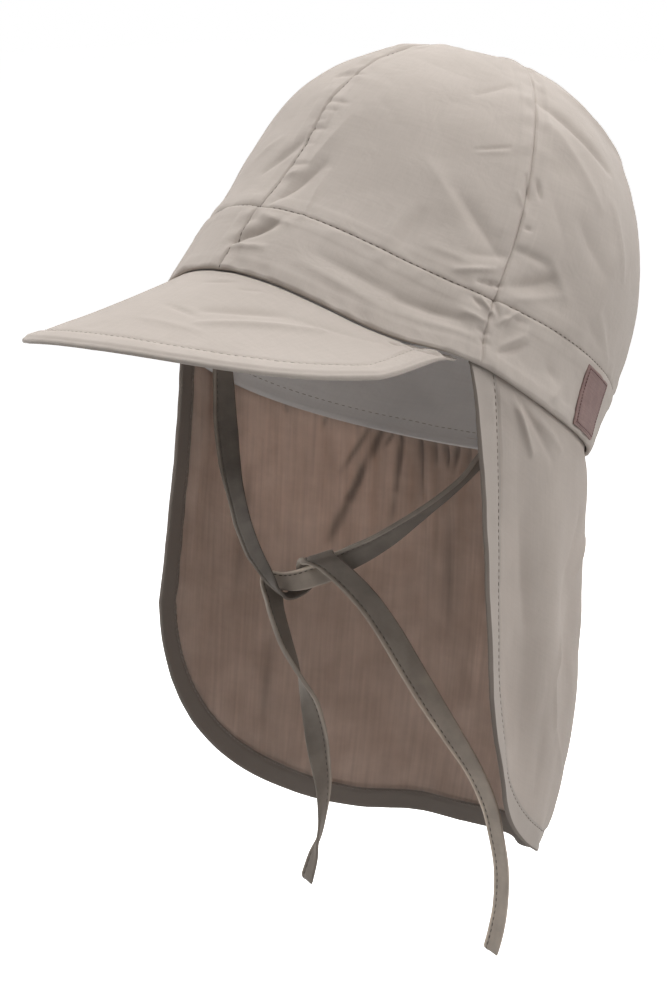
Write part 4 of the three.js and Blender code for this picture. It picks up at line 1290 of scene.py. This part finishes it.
# gathers at the nape, the same way; the cloth lies in layers there
gatherRows = [
    (0.666, 0.000, 0.671, 0.146, 1.5, 2.2),
    (0.671, 0.146, 0.678, 0.248, 2.2, 0.9),
    (0.641, 0.000, 0.641, 0.176, 1.5, 2.2),
    (0.623, 0.000, 0.622, 0.074, 1.2, 1.5),
    (0.608, 0.000, 0.604, 0.068, 1.2, 1.8),
    (0.590, 0.000, 0.595, 0.086, 1.4, 1.8),
    (0.574, 0.004, 0.579, 0.092, 1.4, 1.4),
    (0.692, 0.006, 0.730, 0.196, 2.0, 2.2),
    (0.730, 0.196, 0.752, 0.313, 2.6, 1.5),
    (0.708, 0.008, 0.743, 0.136, 1.6, 1.4),
    (0.675, 0.000, 0.689, 0.050, 1.2, 1.2),
    (0.764, 0.000, 0.767, 0.036, 1.3, 0.9),
    (0.821, 0.000, 0.815, 0.028, 1.3, 0.8),
    (0.655, 0.092, 0.654, 0.271, 2.4, -0.8),
    (0.626, 0.086, 0.624, 0.313, 2.6, -0.8),
    (0.751, 0.371, 0.759, 0.587, 3.0, 0.8),
    (0.867, 0.210, 0.881, 0.571, 4.0, 0.8),
    (0.600, 0.200, 0.596, 0.517, 3.5, 0.9),
    (0.554, 0.291, 0.541, 0.661, 3.5, -0.9),
    (0.952, 0.184, 0.960, 0.577, 4.0, -0.8),
    (0.826, 0.631, 0.829, 0.902, 4, 0.8),
    (0.656, 0.535, 0.643, 0.862, 4, 0.8),
]


def flapAngle(along):
    return np.radians(lerp(-flap["leftStart"], 180 + flap["rightStart"], along))


def hemLine():
    steps = np.linspace(0, 1, flap["hemSteps"] + 1)
    rows = np.interp(steps, [row[0] for row in flapStations], np.arange(len(flapStations)))
    station = sampleRows(stationNames, flapStations, rows)
    x = station["x"] * flap["halfWidth"]
    y = station["y"] * flap["backReach"]
    length = runLength(np.stack([x, y], -1), 0)
    distance = np.minimum(length, length[-1] - length)
    inCorner = np.clip(1 - distance / flap["cornerWidth"], 0, 1)
    drop = flap["edgeDrop"] + flap["cornerDrop"] * np.sqrt(1 - inCorner ** 2)
    low = station["rise"] * flap["hem"] - drop
    return steps, np.stack([x, y, low], -1), station["late"]


def smoothFlap(along, drop, hem):
    steps, line, late = hem
    angle = flapAngle(along)
    down = np.maximum(drop, 0)
    rim = shellPoint(angle, 0 * angle, -flap["inset"])
    hung = np.stack([np.interp(along, steps, line[:, axis]) for axis in range(3)], -1)
    swing = down ** np.interp(along, steps, late)
    point = np.stack([
        lerp(rim[..., 0], hung[..., 0], swing),
        lerp(rim[..., 1], hung[..., 1], swing),
        lerp(rim[..., 2], hung[..., 2], down),
    ], -1)
    tucked = shellPoint(angle, np.maximum(-drop, 0), -flap["inset"])
    return np.where((drop < 0)[..., None], tucked, point)


def flapLift(along, drop):
    degrees = np.degrees(flapAngle(along)) - 90
    spread = smooth(flap["gatherSpread"], flap["gatherSpread"] * 0.7, np.abs(degrees))
    wander = softNoise(np.stack([degrees / flap["wanderSize"], drop * 2.2], -1), 1, 81)
    phase = degrees / flap["gatherSpread"] * np.pi * flap["gatherCount"]
    phase = phase + flap["gatherWander"] * wander
    wave = np.cos(phase)
    sharp = np.sign(wave) * np.abs(wave) ** 0.7
    size = 0.75 + 0.45 * softNoise(np.stack([degrees / 5, degrees * 0], -1), 1, 86)
    reach = flap["gatherReach"] + 0.2 * softNoise(np.stack([degrees / 6, degrees * 0], -1), 1, 82)
    gathered = smooth(0.0, 0.03, drop) * smooth(reach + 0.25, 0.04, drop) ** 1.3
    broad = np.cos(0.37 * phase + 2 * wander) * smooth(0, 0.2, drop) * smooth(0.8, 0.4, drop)
    lift = 0.5 * flap["gather"] * spread * (sharp * size * gathered + flap["broad"] * broad)
    for middle, height, width, fall, share in foldRows:
        lift = lift + share * flap["hem"] * bump((along - middle) / width) * bump((drop - height) / fall)
    return lift * smooth(0, 0.1, drop)


def flapPiece(columns, rows):
    hem = hemLine()
    along = denser(columns, 0.35)[None, :]
    tuckLevel = flap["tuck"] * bandTop / shell["bandHeight"]
    tucked = [-tuckLevel, -tuckLevel * 0.5, -tuckLevel * 0.05]
    drop = np.concatenate([tucked, denser(rows, 0.35)[1:]])[:, None]
    along, drop = np.broadcast_arrays(along, drop)
    step = 0.002
    ahead = smoothFlap(np.minimum(along + step, 1), drop, hem)
    behind = smoothFlap(np.maximum(along - step, 0), drop, hem)
    above = smoothFlap(along, np.maximum(drop - 0.01, 0), hem)
    below = smoothFlap(along, np.minimum(np.maximum(drop, 0) + 0.01, 1), hem)
    normal = unit(np.cross(ahead - behind, above - below))
    tuckNormal = shellNormal(flapAngle(along), np.maximum(-drop, 0))
    normal = np.where((drop < 0)[..., None], tuckNormal, normal)
    base = smoothFlap(along, drop, hem)
    base = base + normal * flapLift(along, drop)[..., None]
    hung = drop[:, 0] > 0
    edge = np.concatenate([base[hung, 0], base[-1, 1:], base[hung, -1][::-1]])
    given, wanted = np.linspace(0, 1, len(edge)), np.linspace(0, 1, flap["edgeSteps"])
    edge = np.stack([np.interp(wanted, given, edge[:, axis]) for axis in range(3)], -1)
    edgeLength = runLength(edge, 0)
    fromEdge, nearest = nearestOn(base, edge)
    hemmed = smooth(flap["hem"], flap["hem"] - 0.0004, fromEdge)
    fromSeam = fromEdge - flap["hem"] + flap["stitchInset"]
    seam = bump(fromSeam / flap["seamWidth"])
    # puckers stand square to the hem, wherever it turns
    run = edgeLength[nearest]
    pucker = puckers(flap, run, np.abs(fromSeam), 83)
    slack = layered(base, flap["slack"], 84)
    crumple = np.abs(softNoise(base * (1, 1, 0.45), 0.017, 87))
    crumple = crumple + 0.4 * np.abs(softNoise(base * (1, 1, 0.6), 0.008, 88))
    toFlap = lambda a, b: smoothFlap(a, b, hem)
    gathers = creased(base, gatherRows, toFlap)
    slack = slack + flap["crumple"] * crumple + creased(base, flapRows, toFlap)
    slack = slack * smooth(0, 0.05, drop) + flap["gathered"] * gathers * smooth(0, 0.02, drop)
    lift = pucker + slack * (1 - 0.6 * hemmed)
    # painted shade where the gathers lift outwards and a little painted light where they sink, then a
    # painted patch of light on the upper flap
    shade = 1 - 0.55 * smooth(0.0002, 0.0026, gathers) + 0.1 * smooth(0.0002, 0.0015, -gathers)
    paintedLightPatch = smooth(0.60, 0.72, along) * smooth(0.95, 0.84, along) * smooth(0.5, 0.2, drop)
    shade = shade * (1 + 0.3 * paintedLightPatch)
    half = flap["wall"] / 2
    fold = flap["hemExtra"] * hemmed * smooth(0, 0.03, drop)
    outer = base + normal * (lift + half - flap["outerSeam"] * seam)[..., None]
    inner = base + normal * (lift - half - fold + flap["innerSeam"] * seam)[..., None]
    up = runLength(base, 0)
    cloth = np.stack([along * flap["clothWidth"], np.broadcast_to(up, drop.shape)], -1)
    piece = wallPiece(
        "neckFlap",
        outer[::-1],
        inner[::-1],
        cloth[::-1],
        [flapOuter, flapInner],
        flap["rounding"],
        {"shade": (shade[::-1], 1), "fromEdge": (fromEdge[::-1], 0)},
    )
    # stitches that hold the hem, on both faces: along the bottom, then up the front edges
    wanted = flap["hem"] - flap["stitchInset"]
    faces = ((outer, flap["stitchOut"]), (inner, -flap["stitchOut"]))
    lines = []
    for face, out in faces:
        line = []
        for column in range(1, columns):
            row = [grid[hung, column][::-1] for grid in (fromEdge, face, normal)]
            line.append(stitchPoint(row[0], wanted, row[1], row[2], out))
        lines.append(np.array([point for point in line if point is not None]))
    for bottom, (face, out) in zip(lines[:2], faces):
        for ends in (slice(None), slice(None, None, -1)):
            line = []
            for row in np.flatnonzero(hung & (drop[:, 0] <= 0.93)):
                row = (row, ends)
                point = stitchPoint(fromEdge[row], wanted, face[row], normal[row], out)
                if point is None:
                    continue
                if np.linalg.norm(bottom - point, axis=-1).min() > flap["stitchesApart"]:
                    line.append(point)
            lines.append(np.array(line))
    lines = [line for line in lines if len(line) > 1]
    threads = stitchPiece("hemStitches", lines, softThread, 0.0021, 0.0014, 0.00036, 4)
    keep(threads, "flap_cloth")
    keep(piece, "flap_cloth", "flap")


flapPiece(330, 118)
print("flap made")


# label: a bare woven patch with a turned border
label = {
    "width": 0.019,
    "height": 0.0212,
    "wall": 0.0009,
    "angle": 18,
    "middle": 0.95,            # level
    "gap": 0.0003,
    "border": 0.0010,
}


def labelPiece():
    middle = math.radians(label["angle"])
    perRadian = np.linalg.norm(smoothShell(middle, 1.0) - smoothShell(middle + 0.1, 1.0)) / 0.1
    perLevel = np.linalg.norm(smoothShell(middle, 0.0) - smoothShell(middle, float(bandTop))) / bandTop
    aside = (denser(56, 0.4) - 0.5)[None, :] * label["width"]
    up = (denser(72, 0.4) - 0.5)[:, None] * label["height"]
    angle, level = np.broadcast_arrays(middle + aside / perRadian, label["middle"] + up / perLevel)
    inside = np.minimum(label["width"] / 2 - np.abs(aside), label["height"] / 2 - np.abs(up))
    border = bump((inside - label["border"]) / 0.00028)
    slack = 0.00012 * softNoise(np.stack(np.broadcast_arrays(aside, up), -1), 0.004, 91)
    lift = label["gap"] + label["wall"] - 0.00022 * border + slack - 0.0003 * smooth(0.0006, 0, inside)
    outer = shellPoint(angle, level, lift)
    inner = shellPoint(angle, level, label["gap"] + 0 * lift)
    cloth = np.stack(np.broadcast_arrays(aside, up), -1)
    piece = wallPiece("wovenLabel", outer, inner, cloth, [labelWeave], 0.5)
    keep(piece, "label_weave", "label")
    x = label["width"] / 2 - label["border"]
    y = label["height"] / 2 - label["border"]
    corners = [(-x, -y), (x, -y), (x, y), (-x, y), (-x, -y)]
    line = np.concatenate([np.linspace(a, b, 30)[:-1] for a, b in zip(corners[:-1], corners[1:])])
    out = label["gap"] + label["wall"] - 0.00005
    seam = shellPoint(middle + line[:, 0] / perRadian, label["middle"] + line[:, 1] / perLevel, out)
    threads = stitchPiece("labelStitches", [seam], redThread, 0.0011, 0.0009, 0.00038, 6)
    keep(threads, "label_weave")


labelPiece()
print("label made")


# stitches on the crown: along the front and back seams and round the band's upper seam
def crownStitches():
    rise = np.linspace(0.06, crownTop - 0.3, 240)
    turns = np.linspace(0, 2 * np.pi, 900)
    # angle, level and how deep the stitches lie
    rows = ((-90, rise, 0.00012), (90, rise[rise > bandTop], 0.00012))
    rows += ((np.degrees(turns), bandTop + 0.012 + 0 * turns, 0.00018),)
    lines = []
    for degrees, level, deep in rows:
        angle = np.radians(degrees) + 0 * level
        lines.append(shellPoint(angle, level, shellFold(smoothShell(angle, level)) - deep))
    threads = stitchPiece("crownStitches", lines, darkThread, 0.0023, 0.0014, 0.0004, 7)
    keep(threads, "crown_cloth")


crownStitches()
print("stitches made")


# studio: a pale floor far below, a soft sky and six large lamps
studio = {
    "floorHeight": -0.42,
    "floorSize": 14,
    "floorColour": (0.9, 0.9, 0.9),
    "skyLight": 0.5,          # from the pale floor, below the horizon
    "skyColour": (1, 0.985, 0.97),
    "skyShown": (1.0, 1.0, 1.0),
}
# name, azimuth, elevation, distance, size, watts
lamps = [
    ("leftSide", -75, 30, 1.8, 1.4, 16),
    ("leftHigh", -40, 50, 1.7, 1.4, 3.5),
    ("rightMid", 75, 15, 1.8, 1.4, 4),
    ("rightSide", 115, 20, 1.8, 1.4, 15),
    ("top", 20, 78, 1.6, 1.6, 23),
    ("back", 195, 40, 1.8, 1.4, 22),
]


def makeFloor():
    material = bpy.data.materials.new("paleFloor")
    material.use_nodes = True
    surface = material.node_tree.nodes["Principled BSDF"]
    surface.inputs["Base Color"].default_value = (*studio["floorColour"], 1)
    surface.inputs["Roughness"].default_value = 0.9
    surface.inputs["Specular IOR Level"].default_value = 0.1
    surface.inputs["Emission Color"].default_value = (1, 1, 1, 1)
    surface.inputs["Emission Strength"].default_value = 1.0
    side = studio["floorSize"] / 2
    low = studio["floorHeight"]
    points = [(-side, -side, low), (side, -side, low), (side, side, low), (-side, side, low)]
    mesh = bpy.data.meshes.new("floor")
    mesh.from_pydata(points, [], [(0, 1, 2, 3)])
    mesh.materials.append(material)
    floor = bpy.data.objects.new("floor", mesh)
    bpy.context.collection.objects.link(floor)
    floor.visible_diffuse = False      # the cap's hollow stays as dark as in a tall room


def makeSky():
    world = bpy.data.worlds.new("studioSky")
    bpy.context.scene.world = world
    world.use_nodes = True
    tree = world.node_tree
    tree.nodes.clear()
    place = outOf(tree, "ShaderNodeTexCoord", "Generated")
    upwards = outOf(tree, "ShaderNodeSeparateXYZ", "Z", {"Vector": place})
    below = outOf(tree, "ShaderNodeMapRange", "Result", {
        "Value": upwards, "From Min": 0.05, "From Max": -0.05,
    })
    strength = outOf(tree, "ShaderNodeMath", "Value", {
        0: below, 1: studio["skyLight"],
    }, operation="MULTIPLY")
    light = {"Color": (*studio["skyColour"], 1), "Strength": strength}
    either = addNode(tree, "ShaderNodeMixShader", {
        "Fac": outOf(tree, "ShaderNodeLightPath", "Is Camera Ray"),
        1: outOf(tree, "ShaderNodeBackground", "Background", light),
        2: outOf(tree, "ShaderNodeBackground", "Background", {"Color": (*studio["skyShown"], 1)}),
    })
    addNode(tree, "ShaderNodeOutputWorld", {"Surface": either.outputs["Shader"]})


def makeLamp(name, azimuth, elevation, distance, size, watts):
    lamp = bpy.data.lights.new(name, "AREA")
    lamp.shape = "DISK"
    lamp.size = size
    lamp.energy = watts
    placeAt(name, lamp, azimuth, elevation, distance)


makeFloor()
makeSky()
for row in lamps:
    makeLamp(*row)
bpy.context.scene.view_settings.view_transform = "Standard"
print("studio made")
